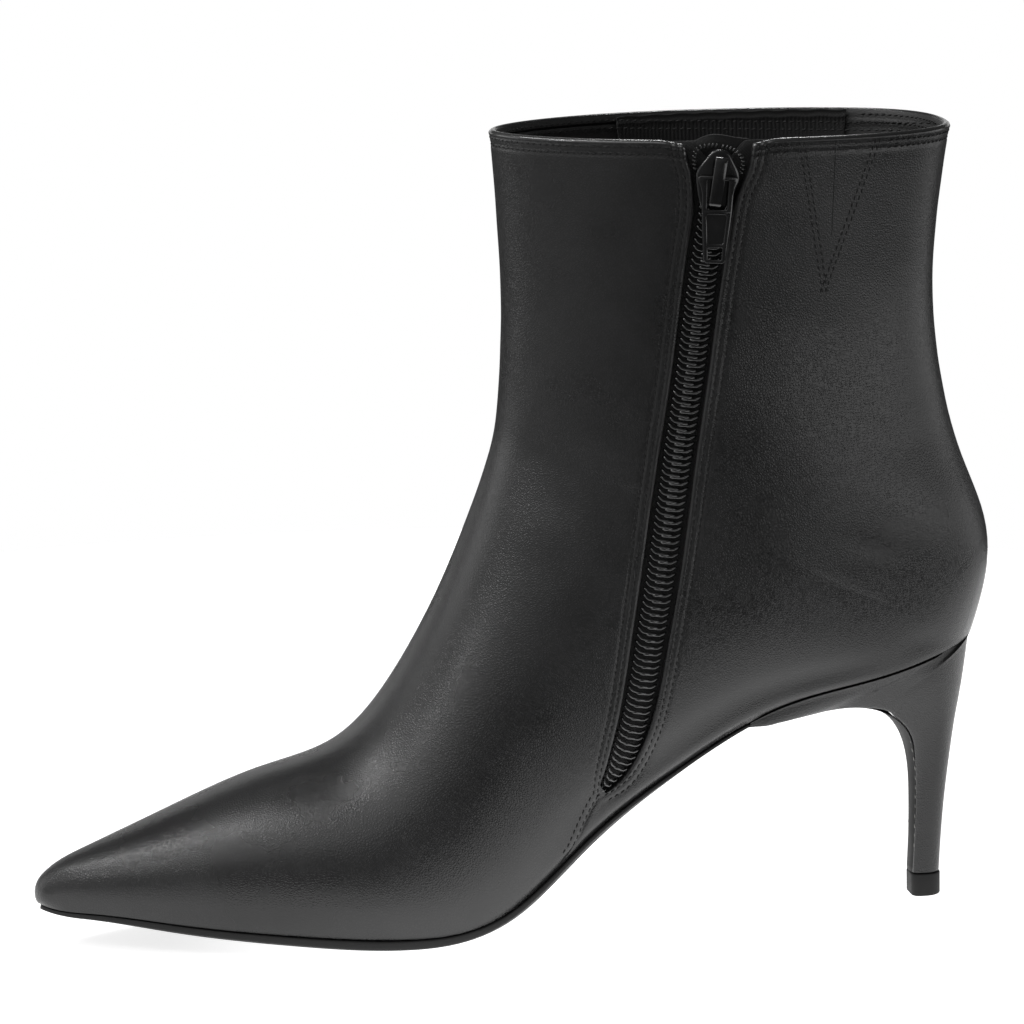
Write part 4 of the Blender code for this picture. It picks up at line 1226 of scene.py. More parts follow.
def end_tree(tree, instances, material):
    """Ends a tree: its instances made real, with their material set."""
    real = add_node(tree, "GeometryNodeRealizeInstances", {"Geometry": instances}).outputs[0]
    done = add_node(tree, "GeometryNodeSetMaterial", {"Geometry": real, "Material": material})
    tree.links.new(done.outputs[0], tree.nodes.new("NodeGroupOutput").inputs[0])
    return tree


def named_attribute(tree, name, kind):
    made = add_node(tree, "GeometryNodeInputNamedAttribute", {"Name": name}, data_type=kind)
    return made.outputs["Attribute"]


def turned_along(tree):
    """Rotation at a point of a line: X along it, Z along its stored outward direction."""
    tangent = add_node(tree, "GeometryNodeInputTangent").outputs[0]
    out = named_attribute(tree, "out", "FLOAT_VECTOR")
    made = add_node(
        tree, "FunctionNodeAxesToRotation", {"Primary Axis": tangent, "Secondary Axis": out},
        primary_axis="X", secondary_axis="Z",
    )
    return made.outputs[0]


def stitch_tree():
    """Beads along lines, each turned by a slant: stitches, and other small repeats."""
    numbers = dict.fromkeys(("Pitch", "Length", "Width", "Slant"), "Float")
    tree, given, points = new_tree("stitch_rows", {**numbers, "Thread": "Material"})
    ball = {"Segments": 8, "Rings": 5, "Radius": 0.5}
    bead = add_node(tree, "GeometryNodeMeshUVSphere", ball).outputs["Mesh"]
    sizes = {"X": given["Length"], "Y": given["Width"], "Z": given["Width"]}
    size = add_node(tree, "ShaderNodeCombineXYZ", sizes).outputs[0]
    lean = add_node(tree, "ShaderNodeCombineXYZ", {"Z": given["Slant"]}).outputs[0]
    turns = {"Rotation": turned_along(tree), "Rotate By": lean}
    turn = add_node(tree, "FunctionNodeRotateRotation", turns, rotation_space="LOCAL").outputs[0]
    beads = {"Points": points, "Instance": bead, "Rotation": turn, "Scale": size}
    return end_tree(tree, add_node(tree, "GeometryNodeInstanceOnPoints", beads).outputs[0], given["Thread"])


def coil_tree():
    """Teeth along the zip's two halves, each half with its own tooth."""
    teeth_kinds = dict.fromkeys(("Front tooth", "Back tooth"), "Object")
    tree, given, points = new_tree("coil_teeth", {"Pitch": "Float", **teeth_kinds, "Nylon": "Material"})
    side = named_attribute(tree, "side", "FLOAT")
    width = named_attribute(tree, "width", "FLOAT")
    size = add_node(tree, "ShaderNodeCombineXYZ", {"X": 1.0, "Y": width, "Z": 1.0}).outputs[0]
    turn = turned_along(tree)
    both = add_node(tree, "GeometryNodeJoinGeometry")
    for name, operation in (("Front tooth", "LESS_THAN"), ("Back tooth", "GREATER_THAN")):
        test = {"data_type": "FLOAT", "operation": operation}
        chosen = add_node(tree, "FunctionNodeCompare", {0: side, 1: 0.0}, **test).outputs[0]
        tooth = add_node(tree, "GeometryNodeObjectInfo", {"Object": given[name]}).outputs["Geometry"]
        half = {"Points": points, "Selection": chosen, "Instance": tooth, "Rotation": turn, "Scale": size}
        tree.links.new(add_node(tree, "GeometryNodeInstanceOnPoints", half).outputs[0], both.inputs[0])
    return end_tree(tree, both.outputs[0], given["Nylon"])


def run_tree(name, tree, lines, values, marks=()):
    """Runs a tree over lines of (points, directions, marks) and keeps the result as a plain mesh."""
    points, ways, edges, extra = [], [], [], {mark: [] for mark in marks}
    for line, out, *rest in lines:
        first = len(points)
        points.extend(np.asarray(line) * MM)
        ways.extend(out)
        edges.extend((first + k, first + k + 1) for k in range(len(line) - 1))
        for mark, value in zip(marks, rest):
            extra[mark].extend(np.broadcast_to(value, len(line)))
    mesh = bpy.data.meshes.new(name + "_lines")
    mesh.from_pydata([tuple(p) for p in points], edges, [])
    mesh.attributes.new("out", "FLOAT_VECTOR", "POINT").data.foreach_set("vector", np.ravel(ways))
    for mark, values_at in extra.items():
        mesh.attributes.new(mark, "FLOAT", "POINT").data.foreach_set("value", values_at)
    carrier = new_object(name + "_lines", mesh)
    modifier = carrier.modifiers.new(name, "NODES")
    modifier.node_group = tree
    for item in tree.interface.items_tree:
        if item.in_out == "INPUT" and item.name in values:
            modifier[item.identifier] = values[item.name]
    made = plain_mesh(carrier)
    made.name = name
    made.shade_smooth()
    return new_object(name, made)


stitch_rows = stitch_tree()


def beaded(name, lines, pitch, length, width, slant, material):
    """A row of beads along each line, with sizes in millimetres and the slant in degrees."""
    values = {
        "Pitch": pitch * MM, "Length": length * MM, "Width": width * MM,
        "Slant": math.radians(slant), "Thread": material,
    }
    return run_tree(name, stitch_rows, lines, values)


# Stitched V on the inner side behind the zip, and the slit down its middle
V_LEFT = ((69.4, 202.4), (75.6, 164.9))
V_RIGHT = ((90.6, 202.0), (76.6, 164.8))
V_ROW_STEP = 1.25
V_SLIT = ((78.8, 202.6), (78.0, 178.8))
V_CLEAR = 1.0
# The slit's section: across and out
SLIT_SECTION = ((-0.2, -0.1), (-0.1, 0.03), (0.1, 0.03), (0.2, -0.1))
# Ends of the collar's rows inside, beside the elastic and beside the zip
INSIDE_FRONT = 32.0
INSIDE_BACK = 97.5
INSIDE_SKIP = 8


def stitch_lines():
    """Lines of the collar's rows outside and inside, of the slot's rows and of the V's."""
    lines = []
    count = upper.number.shape[1]
    split = upper.split
    place = upper.points[upper.number[-1]]
    behind_zip = [j for j in range(split - 2, -1, -1) if place[j, 0] < V_LEFT[0][0] - V_CLEAR]
    behind_v = [j for j in range(split - 1, -1, -1) if place[j, 0] > V_RIGHT[0][0] + V_CLEAR]
    front = list(range(split + 1, count))
    inside = range(split + INSIDE_SKIP, count)
    inside_front = [j for j in inside if place[j, 0] < INSIDE_FRONT or place[j, 1] < 0]
    inside_back = [j for j in range(count // 2, count) if place[j, 0] > INSIDE_BACK and place[j, 1] > 0]
    for depth in COLLAR_ROWS:
        for columns in (behind_zip, behind_v, front):
            lines.append(upper.collar_line(depth, columns))
        for columns in (inside_front, inside_back):
            lines.append(upper.collar_line(depth, columns, inside=True))
    for side in (-1, 1):
        for row in (0, 1):
            lines.append(upper.slot_line(row, side))
    for line, way in ((V_LEFT, 1), (V_RIGHT, -1)):
        for row in (0, 1):
            moved = [(x + way * row * V_ROW_STEP, z) for x, z in line]
            lines.append(upper.side_line(moved, "medial"))
    return lines


stitches = beaded(
    "stitching", stitch_lines(), pitch=1.85, length=1.35, width=0.44, slant=12.0, material=thread
)
finish_piece(upper_piece, "boot", "upper_leather", "upper")
finish_piece(stitches, "boot", "upper_leather")


def make_slit():
    """The cut down the middle of the V, as a narrow dark ridge that barely stands out: painted shade, a dark
    strip for the shade inside the cut.
    """
    points, ways = upper.side_line(V_SLIT, "medial")
    across = unit(np.cross(np.gradient(points, axis=0), ways))
    corners = [points + aside * across + out * ways for aside, out in SLIT_SECTION]
    slit_points, slit_faces = closed_loft(np.swapaxes(np.array(corners), 0, 1))
    # Painted shade: the dark thread strip stands for the shade inside the cut.
    return face_out(make_piece("v_slit_line", slit_points, slit_faces, (thread,)))


finish_piece(make_slit(), "boot", "upper_leather")


# Pieces behind the slot, laid at depths below the smooth form
def slab_piece(name, near, far, material):
    """A closed sheet between two tables of points with the same rows."""
    near, far = np.array(near), np.array(far)
    rows, columns = near.shape[:2]
    number = np.arange(rows * columns).reshape(rows, columns)
    faces = []
    for i in range(rows - 1):
        for j in range(columns - 1):
            quad = (number[i, j], number[i + 1, j], number[i + 1, j + 1], number[i, j + 1])
            faces.append(tuple(int(q) for q in quad))
            faces.append(tuple(int(q) + rows * columns for q in reversed(quad)))
    border = np.r_[number[:, 0], number[-1, 1:], number[-2::-1, -1], number[0, -2:0:-1]]
    for a, b in zip(border, np.roll(border, -1)):
        faces.append((int(b), int(a), int(a) + rows * columns, int(b) + rows * columns))
    points = np.r_[near.reshape(-1, 3), far.reshape(-1, 3)]
    return face_out(make_piece(name, points, faces, (material,)))


def laid_strip(name, places, halves, beside, depths, side, across, material, relief=None):
    """A strip on one side of the skin between two depths; relief lifts it, by place, offset and layer."""
    layers = []
    for layer, depth in enumerate(depths):
        rows = []
        for place, half in zip(places, halves):
            offsets = np.linspace(-1, 1, across) * half
            lifts = np.zeros(across) if relief is None else relief(place, offsets, layer)
            row = []
            for offset, lift in zip(offsets, lifts):
                row.append(skin.inside(*beside(place, offset), depth - lift, side))
            rows.append(row)
        layers.append(rows)
    return slab_piece(name, *layers, material)


TAPE_TOP = 202.8
TAPE_END = 1.0
TAPE_ROWS = 90
TAPE_MARGIN = 4.5
TAPE_RISE = 0.6
TAPE_NOTCH = 4.5
TAPE_NOTCH_ACROSS = (1.5, 7.5)
TAPE_NOTCH_FADE = 14.0
TAPE_DEPTHS = (2.45, 3.0)
CHAIN_TOP = 188.0
CHAIN_FOOT = 37.6
CHAIN_HALF = 3.6
CHAIN_CLEAR = 0.5
GUARD_TOP = 203.4
GUARD_CREST = ((-6.0, -0.2), (-3.6, 0.9), (-1.8, 1.35), (0.8, 1.3), (4.0, 0.7), (9.0, 0.1))
GUARD_CREST_FADE = 12.0
GUARD_FOOT = 62.0
GUARD_ROWS = 50
GUARD_HALVES = ((0.0, 8.2), (0.12, 8.6), (0.3, 9.5), (1.0, 9.5))
GUARD_DEPTHS = (3.4, 4.4)
ELASTIC_MIDDLE = 64.7
ELASTIC_TOP = 203.3
ELASTIC_HEM = 1.5
ELASTIC_FOOT = 146.0
ELASTIC_HALVES = (26.0, 31.0)
ELASTIC_DEPTHS = (2.3, 3.1)
ELASTIC_FINE = 3.6
ELASTIC_STEP = 1.0
ELASTIC_FINE_ROWS = 13
ELASTIC_ROWS = 14
ELASTIC_WAVE = 0.12
ELASTIC_WAVE_LENGTH = 7.5
RIB_PITCH = 1.05
RIB_HEIGHT = 0.09
RIB_START = 0.8
HEM_HEIGHT = 0.22
HEM_GROOVE = (0.2, 0.3, 0.35)

tape_places = np.linspace(zip_line.at_height(TAPE_TOP), zip_line.length - TAPE_END, TAPE_ROWS)
tape_halves = zip_line.half(tape_places) + TAPE_MARGIN


def tape_beside(place, distance):
    """The tape's two ends rise beside the slot, with a notch between them behind the slider."""
    x, z = zip_line.beside(place, distance)
    fade = 1 - float(smooth_step(place - tape_places[0], 0, TAPE_NOTCH_FADE))
    notch = 1 - float(smooth_step(abs(distance), *TAPE_NOTCH_ACROSS))
    return x, z + fade * (TAPE_RISE - (TAPE_RISE + TAPE_NOTCH) * notch)


tape = laid_strip(
    "zip_tape_cloth", tape_places, tape_halves, tape_beside, TAPE_DEPTHS, "medial", across=31,
    material=zip_cloth,
)
finish_piece(tape, "boot", "zip_cloth", "zip_tape")

guard_places = np.linspace(zip_line.at_height(GUARD_TOP), zip_line.at_height(GUARD_FOOT), GUARD_ROWS)
guard_halves = spline(*zip(*GUARD_HALVES))(np.linspace(0, 1, GUARD_ROWS))
guard_crest = spline(*zip(*GUARD_CREST))


def guard_beside(place, distance):
    """The guard's top edge stands highest towards the toe."""
    x, z = zip_line.beside(place, distance)
    fade = 1 - float(smooth_step(place - guard_places[0], 0, GUARD_CREST_FADE))
    return x, z + fade * float(guard_crest(np.clip(distance, GUARD_CREST[0][0], GUARD_CREST[-1][0])))


guard = laid_strip(
    "zip_guard_flap", guard_places, guard_halves, guard_beside, GUARD_DEPTHS, "medial", across=25,
    material=guard_leather,
)
finish_piece(guard, "boot", "upper_leather", "zip_guard")


def elastic_relief(place, offsets, layer):
    """Ribs below a plump hem, with a pressed line between them."""
    below = ELASTIC_TOP - place
    shown = float(smooth_step(below, ELASTIC_HEM, ELASTIC_HEM + RIB_START))
    ribs = RIB_HEIGHT * np.cos(2 * math.pi * offsets / RIB_PITCH) * shown
    hem = HEM_HEIGHT * math.sin(math.pi * min(below / ELASTIC_HEM, 1.0))
    hem -= float(ridge(below - ELASTIC_HEM, *HEM_GROOVE))
    return (ribs + hem) * (-1 if layer == 0 else 1)


elastic_rows = np.r_[
    np.linspace(ELASTIC_TOP, ELASTIC_TOP - ELASTIC_FINE, ELASTIC_FINE_ROWS),
    np.linspace(ELASTIC_TOP - ELASTIC_FINE - ELASTIC_STEP, ELASTIC_FOOT, ELASTIC_ROWS),
]
elastic_halves = np.interp(elastic_rows, (ELASTIC_FOOT, ELASTIC_TOP), ELASTIC_HALVES)


def elastic_beside(height, distance):
    """A place on the elastic, whose upper edge runs in slight waves."""
    share = max(0.0, (height - ELASTIC_FOOT) / (ELASTIC_TOP - ELASTIC_FOOT))
    wave = ELASTIC_WAVE * math.sin(distance * 2 * math.pi / ELASTIC_WAVE_LENGTH) * share
    return ELASTIC_MIDDLE + distance, height + wave


elastic = laid_strip(
    "gore_elastic_web", elastic_rows, elastic_halves, elastic_beside, ELASTIC_DEPTHS, "lateral", across=355,
    material=elastic_cloth, relief=elastic_relief,
)
finish_piece(elastic, "boot", "elastic", "gore_elastic")


# Coil of the zip: the path of one tooth, as places with two half sizes; X runs down the zip, Y across, Z out
TOOTH_PATH = (
    (-0.25, -3.20, -0.55, 0.30, 0.32), (-0.62, -3.52, -0.05, 0.36, 0.36),
    (-0.50, -3.28, 0.42, 0.38, 0.36), (-0.08, -2.75, 0.62, 0.38, 0.34),
    (0.26, -2.20, 0.66, 0.38, 0.34), (0.36, -1.40, 0.66, 0.38, 0.34),
    (0.40, -0.30, 0.72, 0.40, 0.37), (0.44, 0.60, 0.78, 0.43, 0.40),
    (0.44, 1.05, 0.68, 0.42, 0.36), (0.44, 1.32, 0.15, 0.36, 0.30),
)
TOOTH_SIDES = 6
TOOTH_SQUARE = 0.6
TOOTH_SLIM = 0.76
TOOTH_PITCH = 1.69
COIL_DEPTH = 1.35
COIL_STEP = 0.8


def make_tooth(name, side):
    """A bent rod from the coil's outer turn to its head at the middle."""
    path = np.array(TOOTH_PATH)
    centre = path[:, :3] * (1, -side, 1)
    angles = np.linspace(0, 2 * math.pi, TOOTH_SIDES, endpoint=False) + math.pi / TOOTH_SIDES
    corners = np.c_[np.cos(angles), np.sin(angles)]
    corners = np.sign(corners) * abs(corners) ** TOOTH_SQUARE
    down_zip = np.array([1.0, 0.0, 0.0])
    loops = []
    for place, way, (wide, thick) in zip(centre, unit(np.gradient(centre, axis=0)), path[:, 3:]):
        along = unit(down_zip - way * (down_zip @ way))
        other = np.cross(way, along)
        loops.append([place + TOOTH_SLIM * wide * a * along + thick * b * other for a, b in corners])
    points, faces = closed_loft(loops)
    return face_out(make_piece(name, points, faces, (coil_nylon,)))


def coil_lines():
    """The middle line for each half of the coil, half a pitch apart."""
    top, foot = zip_line.at_height(CHAIN_TOP), zip_line.at_height(CHAIN_FOOT)
    lines = []
    for side in (-1, 1):
        start = top + (0.5 * TOOTH_PITCH if side > 0 else 0.0)
        places = np.arange(start, foot, COIL_STEP)
        points = [skin.inside(*zip_line.beside(p, 0.0), COIL_DEPTH, "medial") for p in places]
        ways = [skin.normal(*zip_line.beside(p, 0.0), "medial") for p in places]
        width = np.minimum(1.0, (zip_line.half(places) - CHAIN_CLEAR) / CHAIN_HALF)
        lines.append((points, ways, float(side), width))
    return lines


teeth = [make_tooth("tooth_front", -1), make_tooth("tooth_back", 1)]
coil = run_tree(
    "zip_coil", coil_tree(), coil_lines(),
    {"Pitch": TOOTH_PITCH * MM, "Front tooth": teeth[0], "Back tooth": teeth[1], "Nylon": coil_nylon},
    ("side", "width"),
)
for tooth in teeth:
    bpy.data.objects.remove(tooth, do_unlink=True)
finish_piece(coil, "boot", "coil", "zip_chain")


# Slider and pull tab, in their own frames: X across the zip, Y up, Z out
def mirrored(half):
    """A closed outline from one half, from the top down; a point on the middle line comes once."""
    return (*half, *((-x, y) for x, y in reversed(half) if x))


PIVOT_RISE = 2.15
PULL_LENGTH = 21.75
SLIDER_OUTLINE = mirrored((
    (0.0, 6.5), (-1.3, 6.4), (-2.3, 5.8), (-3.3, 4.3), (-4.4, 2.6),
    (-5.1, 1.3), (-5.5, -0.2), (-5.2, -2.2), (-4.3, -5.5), (-3.0, -8.9),
))
SLIDER_HEIGHTS = (-1.8, 1.25)
BRIDGE_HALF = 1.55
BRIDGE_PROFILE = (
    (5.1, 0.8), (5.1, 3.2), (4.7, 3.95), (3.8, 4.25), (-6.2, 4.25), (-7.2, 3.9),
    (-7.6, 3.2), (-7.6, 0.8), (-6.3, 0.8), (-6.3, 3.15), (3.8, 3.15), (3.8, 0.8),
)
PULL_OUTLINE = mirrored((
    (-4.6, 0.1), (-5.0, -0.3), (-5.0, -1.3), (-4.3, -2.9), (-3.95, -4.4),
    (-3.8, -8.9), (-3.5, -12.5), (-2.85, -20.9), (-2.2, -PULL_LENGTH),
))
PULL_HOLES = (
    mirrored(((2.4, -0.9), (2.65, -1.3), (2.55, -7.9), (2.2, -8.3))),
    mirrored(((2.2, -9.5), (2.5, -9.9), (2.0, -16.6), (1.7, -16.9))),
    mirrored(((1.7, -17.8), (1.85, -18.0), (1.7, -20.7), (1.5, -20.9))),
)
PULL_LEAN = math.radians(2.8)
PULL_THICK = 1.2
PULL_EDGE = 0.22
# The thin panel that closes the pull's middle hole, a little larger than it
PANEL_WIDER = 1.12
PANEL_LONGER = 0.25
PANEL_MIDDLE = -14.0
PANEL_HEIGHTS = (-0.45, 0.05)

joint = frame["record"]["behaviour"]["joints"][0]
pivot = np.array(joint["pos_m"]) / MM


def slider_axes():
    """Directions of the slider's frame, as columns."""
    where = zip_line.at_height(PIVOT_Z)
    ends = []
    for offset in (PULL_LENGTH, 0.0):
        x, z = zip_line.beside(where + offset, 0.0)
        ends.append(np.array([x, skin.y(x, z, "medial"), z]))
    up = unit(ends[1] - ends[0])
    out = skin.normal(PIVOT_X, PIVOT_Z, "medial")
    out = unit(out - up * (out @ up))
    return np.c_[np.cross(up, out), up, out]


def pull_axes():
    """Directions of the hanging pull's frame, as columns: X along its hinge."""
    across = -np.array(joint["axis"])
    out = unit(np.cross(across, (0.0, 0.0, 1.0)))
    return np.c_[across, np.cross(out, across), out]


def placed(points, axes, origin):
    return np.asarray(points) @ axes.T + origin


def bevelled(name, points, faces, material, width, segments, limit=25.0):
    """A closed mesh with its sharp edges rounded."""
    made = make_piece(name, points, faces, (material,))
    bm = bmesh.new()
    bm.from_mesh(made.data)
    bmesh.ops.recalc_face_normals(bm, faces=bm.faces)
    sharp = [e for e in bm.edges if len(e.link_faces) == 2 and e.calc_face_angle() > math.radians(limit)]
    bmesh.ops.bevel(
        bm, geom=sharp, offset=width * MM, segments=segments, affect="EDGES", profile=0.5, clamp_overlap=True
    )
    bm.to_mesh(made.data)
    bm.free()
    made.data.shade_smooth()
    made.data.set_sharp_from_angle(angle=math.radians(SHARP_ANGLE))
    return made


def prism(outline, low, high):
    """Points and faces of an outline of (x, y) raised between two heights."""
    count = len(outline)
    points = [(x, y, low) for x, y in outline] + [(x, y, high) for x, y in outline]
    faces = [tuple(range(count - 1, -1, -1)), tuple(range(count, 2 * count))]
    faces += [(k, (k + 1) % count, count + (k + 1) % count, count + k) for k in range(count)]
    return np.array(points, float), faces


def joined(name, pieces):
    """Several pieces as one mesh."""
    points, faces, which, materials = [], [], [], []
    for piece in pieces:
        mesh = piece.data
        first = len(points)
        points.extend(np.array(v.co) / MM for v in mesh.vertices)
        faces.extend(tuple(first + v for v in f.vertices) for f in mesh.polygons)
        for slot_material in mesh.materials:
            if slot_material not in materials:
                materials.append(slot_material)
        which.extend(materials.index(mesh.materials[f.material_index]) for f in mesh.polygons)
        bpy.data.objects.remove(piece, do_unlink=True)
    made = make_piece(name, points, faces, materials, which)
    made.data.set_sharp_from_angle(angle=math.radians(SHARP_ANGLE))
    return made


slider_turn = slider_axes()
slider_place = pivot - PIVOT_RISE * slider_turn[:, 2]
body_points, body_faces = prism(SLIDER_OUTLINE, *SLIDER_HEIGHTS)
body_points = placed(body_points, slider_turn, slider_place)
slider_body = bevelled("slider_body", body_points, body_faces, lacquer, width=0.55, segments=4, limit=60.0)
bar_points, bar_faces = prism(BRIDGE_PROFILE, -BRIDGE_HALF, BRIDGE_HALF)
bar_points = placed(bar_points[:, [2, 0, 1]], slider_turn, slider_place)
slider_bridge = bevelled("slider_bridge", bar_points, bar_faces, lacquer, width=0.3, segments=3)
slider = joined("zip_slider_body", [slider_body, slider_bridge])
finish_piece(slider, "boot", "black_metal", "zip_slider")

# The coil's free ends, bent round the slider's shoulders to the collar, in the slider's frame
COIL_ENDS = (
    ((-5.7, 0.8), (-6.1, 2.6), (-6.2, 4.6), (-5.3, 6.1), (-3.4, 6.9), (-1.2, 7.15)),
    ((6.0, 1.2), (6.1, 2.8), (5.7, 4.6), (4.5, 5.9), (2.9, 6.8), (0.4, 7.1)),
)
COIL_END_DEPTH = -0.95
COIL_END_SAMPLES = 14


def coil_end_lines():
    """Lines along the coil's two free ends."""
    lines = []
    out = np.tile(slider_turn[:, 2], (COIL_END_SAMPLES, 1))
    for path in COIL_ENDS:
        path = np.array(path)
        run = run_along(*path.T)
        where = np.linspace(0, run[-1], COIL_END_SAMPLES)
        x, y = (spline(run, values)(where) for values in path.T)
        flat = np.c_[x, y, np.full(COIL_END_SAMPLES, COIL_END_DEPTH)]
        lines.append((placed(flat, slider_turn, slider_place), out))
    return lines


coil_ends = beaded(
    "zip_coil_ends", coil_end_lines(), pitch=0.95, length=1.5, width=0.55, slant=72.0, material=coil_nylon
)
finish_piece(coil_ends, "boot", "coil")


def flat_plate(name, outlines, thick, edge):
    """Points and faces of a flat plate with holes and rounded edges, made from closed outlines."""
    curve = bpy.data.curves.new(name, "CURVE")
    curve.dimensions = "2D"
    curve.fill_mode = "BOTH"
    curve.extrude = thick / 2 * MM - edge * MM
    curve.bevel_depth = edge * MM
    curve.bevel_resolution = 2
    curve.offset = -edge * MM
    for outline in outlines:
        run = curve.splines.new("POLY")
        run.points.add(len(outline) - 1)
        for point, (x, y) in zip(run.points, outline):
            point.co = (x * MM, y * MM, 0.0, 1.0)
        run.use_cyclic_u = True
    mesh = plain_mesh(new_object(name, curve))
    points = np.array([v.co for v in mesh.vertices]) / MM
    return points, [tuple(f.vertices) for f in mesh.polygons]


pull_turn = pull_axes() @ np.array(Matrix.Rotation(PULL_LEAN, 3, "Z"))
plate_points, plate_faces = flat_plate("pull_plate", (PULL_OUTLINE, *PULL_HOLES), PULL_THICK, PULL_EDGE)
plate_points = placed(plate_points, pull_turn, pivot)
pull_plate = face_out(make_piece("pull_plate", plate_points, plate_faces, (lacquer,)))
panel = []
for x, y in PULL_HOLES[1]:
    panel.append((x * PANEL_WIDER, y + (PANEL_LONGER if y > PANEL_MIDDLE else -PANEL_LONGER)))
panel_points, panel_faces = prism(panel, *PANEL_HEIGHTS)
panel_points = placed(panel_points, pull_turn, pivot)
pull_panel = bevelled("pull_panel", panel_points, panel_faces, lacquer, width=0.08, segments=1)
pull = joined("zip_pull_tab", [pull_plate, pull_panel])
finish_piece(pull, "pull", "black_metal", "zip_pull")


# Outsole
def sole_stations():
    """The outsole from the toe to the foot of the heel: middle point, sides, edge, crown and power."""
    x = column(SOLE, SOLE_COLUMNS, "x")
    shape = {name: spline(x, column(SOLE, SOLE_COLUMNS, name)) for name in SOLE_COLUMNS[2:]}
    stations = []
    last_x = SOLE[-1][1]
    for where in edge.at_x(last_x) * np.linspace(0, 1, SOLE_STEPS + 1) ** SOLE_STEP_POWER:
        at = min(float(edge.x(where)), last_x)
        (medial_x, medial_y), (lateral_x, lateral_y) = edge.moved(where, -float(shape["margin"](at)))
        middle = (medial_x + lateral_x) / 2
        top = float(edge.height(max(middle, TIP_X))) - GAP + float(shape["rise"](at))
        depths = [float(shape[name](at)) for name in ("edge", "crown", "power")]
        stations.append((middle, top, medial_y, lateral_y, *depths))
    flap = {name: column(FLAP, FLAP_COLUMNS, name) for name in FLAP_COLUMNS[1:]}
    end = stations[-1]
    lead = stations[-FLAP_LEAD]
    run = run_along(np.r_[lead[0], end[0], flap["x"]], np.r_[lead[1], end[1], flap["z"]])
    names = ("x", "z", "medial", "lateral", "edge", "crown")
    ends = dict(zip(names, zip(lead, end)))
    values = dict(flap, medial=-flap["half"], lateral=flap["half"])
    curves = {name: spline(run, np.r_[start, values[name]]) for name, start in ends.items()}
    for where in np.linspace(run[1], run[-1], FLAP_STEPS + 1)[1:]:
        stations.append((*(float(curves[name](where)) for name in ends), end[6]))
    return stations


def make_sole():
    """The outsole with its rounded edge, and the flap down the front of the heel."""
    stations = sole_stations()
    along = unit(np.gradient(np.array([station[:2] for station in stations]), axis=0))
    across = np.sin(np.linspace(-math.pi / 2, math.pi / 2, SOLE_ACROSS))
    loops = []
    for (x, z, medial, lateral, side, crown, power), (dx, dz) in zip(stations, along):
        middle, half = (medial + lateral) / 2, (lateral - medial) / 2
        pinch = min(1.0, half / FULL_EDGE_HALF)
        crown *= min(half / FULL_CROWN_HALF, 1.0)
        top, low = (half - EDGE_PROFILE[k][0] * pinch for k in (0, -1))
        loop = [(middle + s * top, 0.0) for s in across]
        loop += [(middle + half - inset * pinch, share * side) for inset, share in EDGE_PROFILE[1:-1]]
        loop += [(middle + s * low, side + crown * (1 - abs(s) ** power)) for s in across[::-1]]
        loop += [(middle - half + inset * pinch, share * side) for inset, share in EDGE_PROFILE[-2:0:-1]]
        loops.append([(x + dz * depth, y, max(z - dx * depth, 0.0)) for y, depth in loop])
    points, faces = closed_loft(np.array(loops))
    return face_out(make_piece("outsole_leather", points, faces, (sole_leather,)))


finish_piece(make_sole(), "boot", "sole", "outsole")


# Heel
def seat_height(x):
    """Height of the heel's seat: just under the upper's edge, and up inside it at the very back."""
    return edge.height(x) + SEAT_LAP + (SEAT_RISE - SEAT_LAP) * smooth_step(x, *SEAT_RISE_FROM)


def heel_rows():
    """Rows round the heel, each from the middle of its front along one side to its back."""
    known = {}
    for name in STEM_COLUMNS[1:]:
        stem = column(STEM_ROWS, STEM_COLUMNS, name)
        if name == "back_z":
            seat = seat_height(column(SEAT_ROWS, SEAT_COLUMNS, "back_x"))
        else:
            seat = column(SEAT_ROWS, SEAT_COLUMNS, name)
        known[name] = np.r_[stem, seat]
    fronts = run_along(known["front_x"], known["front_z"])
    backs = run_along(known["back_x"], known["back_z"])
    run = (fronts + backs) / 2
    steps = np.arange(0, len(run) - 1 + 1 / HEEL_STEPS, 1 / HEEL_STEPS)
    where = np.interp(steps, np.arange(len(run)), run)
    value = {name: spline(run, row)(where) for name, row in known.items()}
    turn = len(STEM_ROWS)
    on_seat = where > run[turn]
    for name in ("back_x", "back_z"):
        stem = spline(run[: turn + 1], known[name][: turn + 1])(where)
        seat = spline(run[turn:], known[name][turn:])(where)
        value[name] = np.where(on_seat, seat, stem)
    value["back_z"] = np.where(on_seat, seat_height(value["back_x"]), value["back_z"])
    value["seat_half"] = np.where(on_seat, edge.half(value["back_x"], "medial") + SEAT_LAP, 0.0)
    value["back_power"] = 1 + BACK_BELOW_SEAT * smooth_step(where, run[turn - 2], run[turn])
    value["back_power"] += BACK_ON_SEAT * smooth_step(where - run[turn], 0, BACK_SEAT_RUN)
    return value


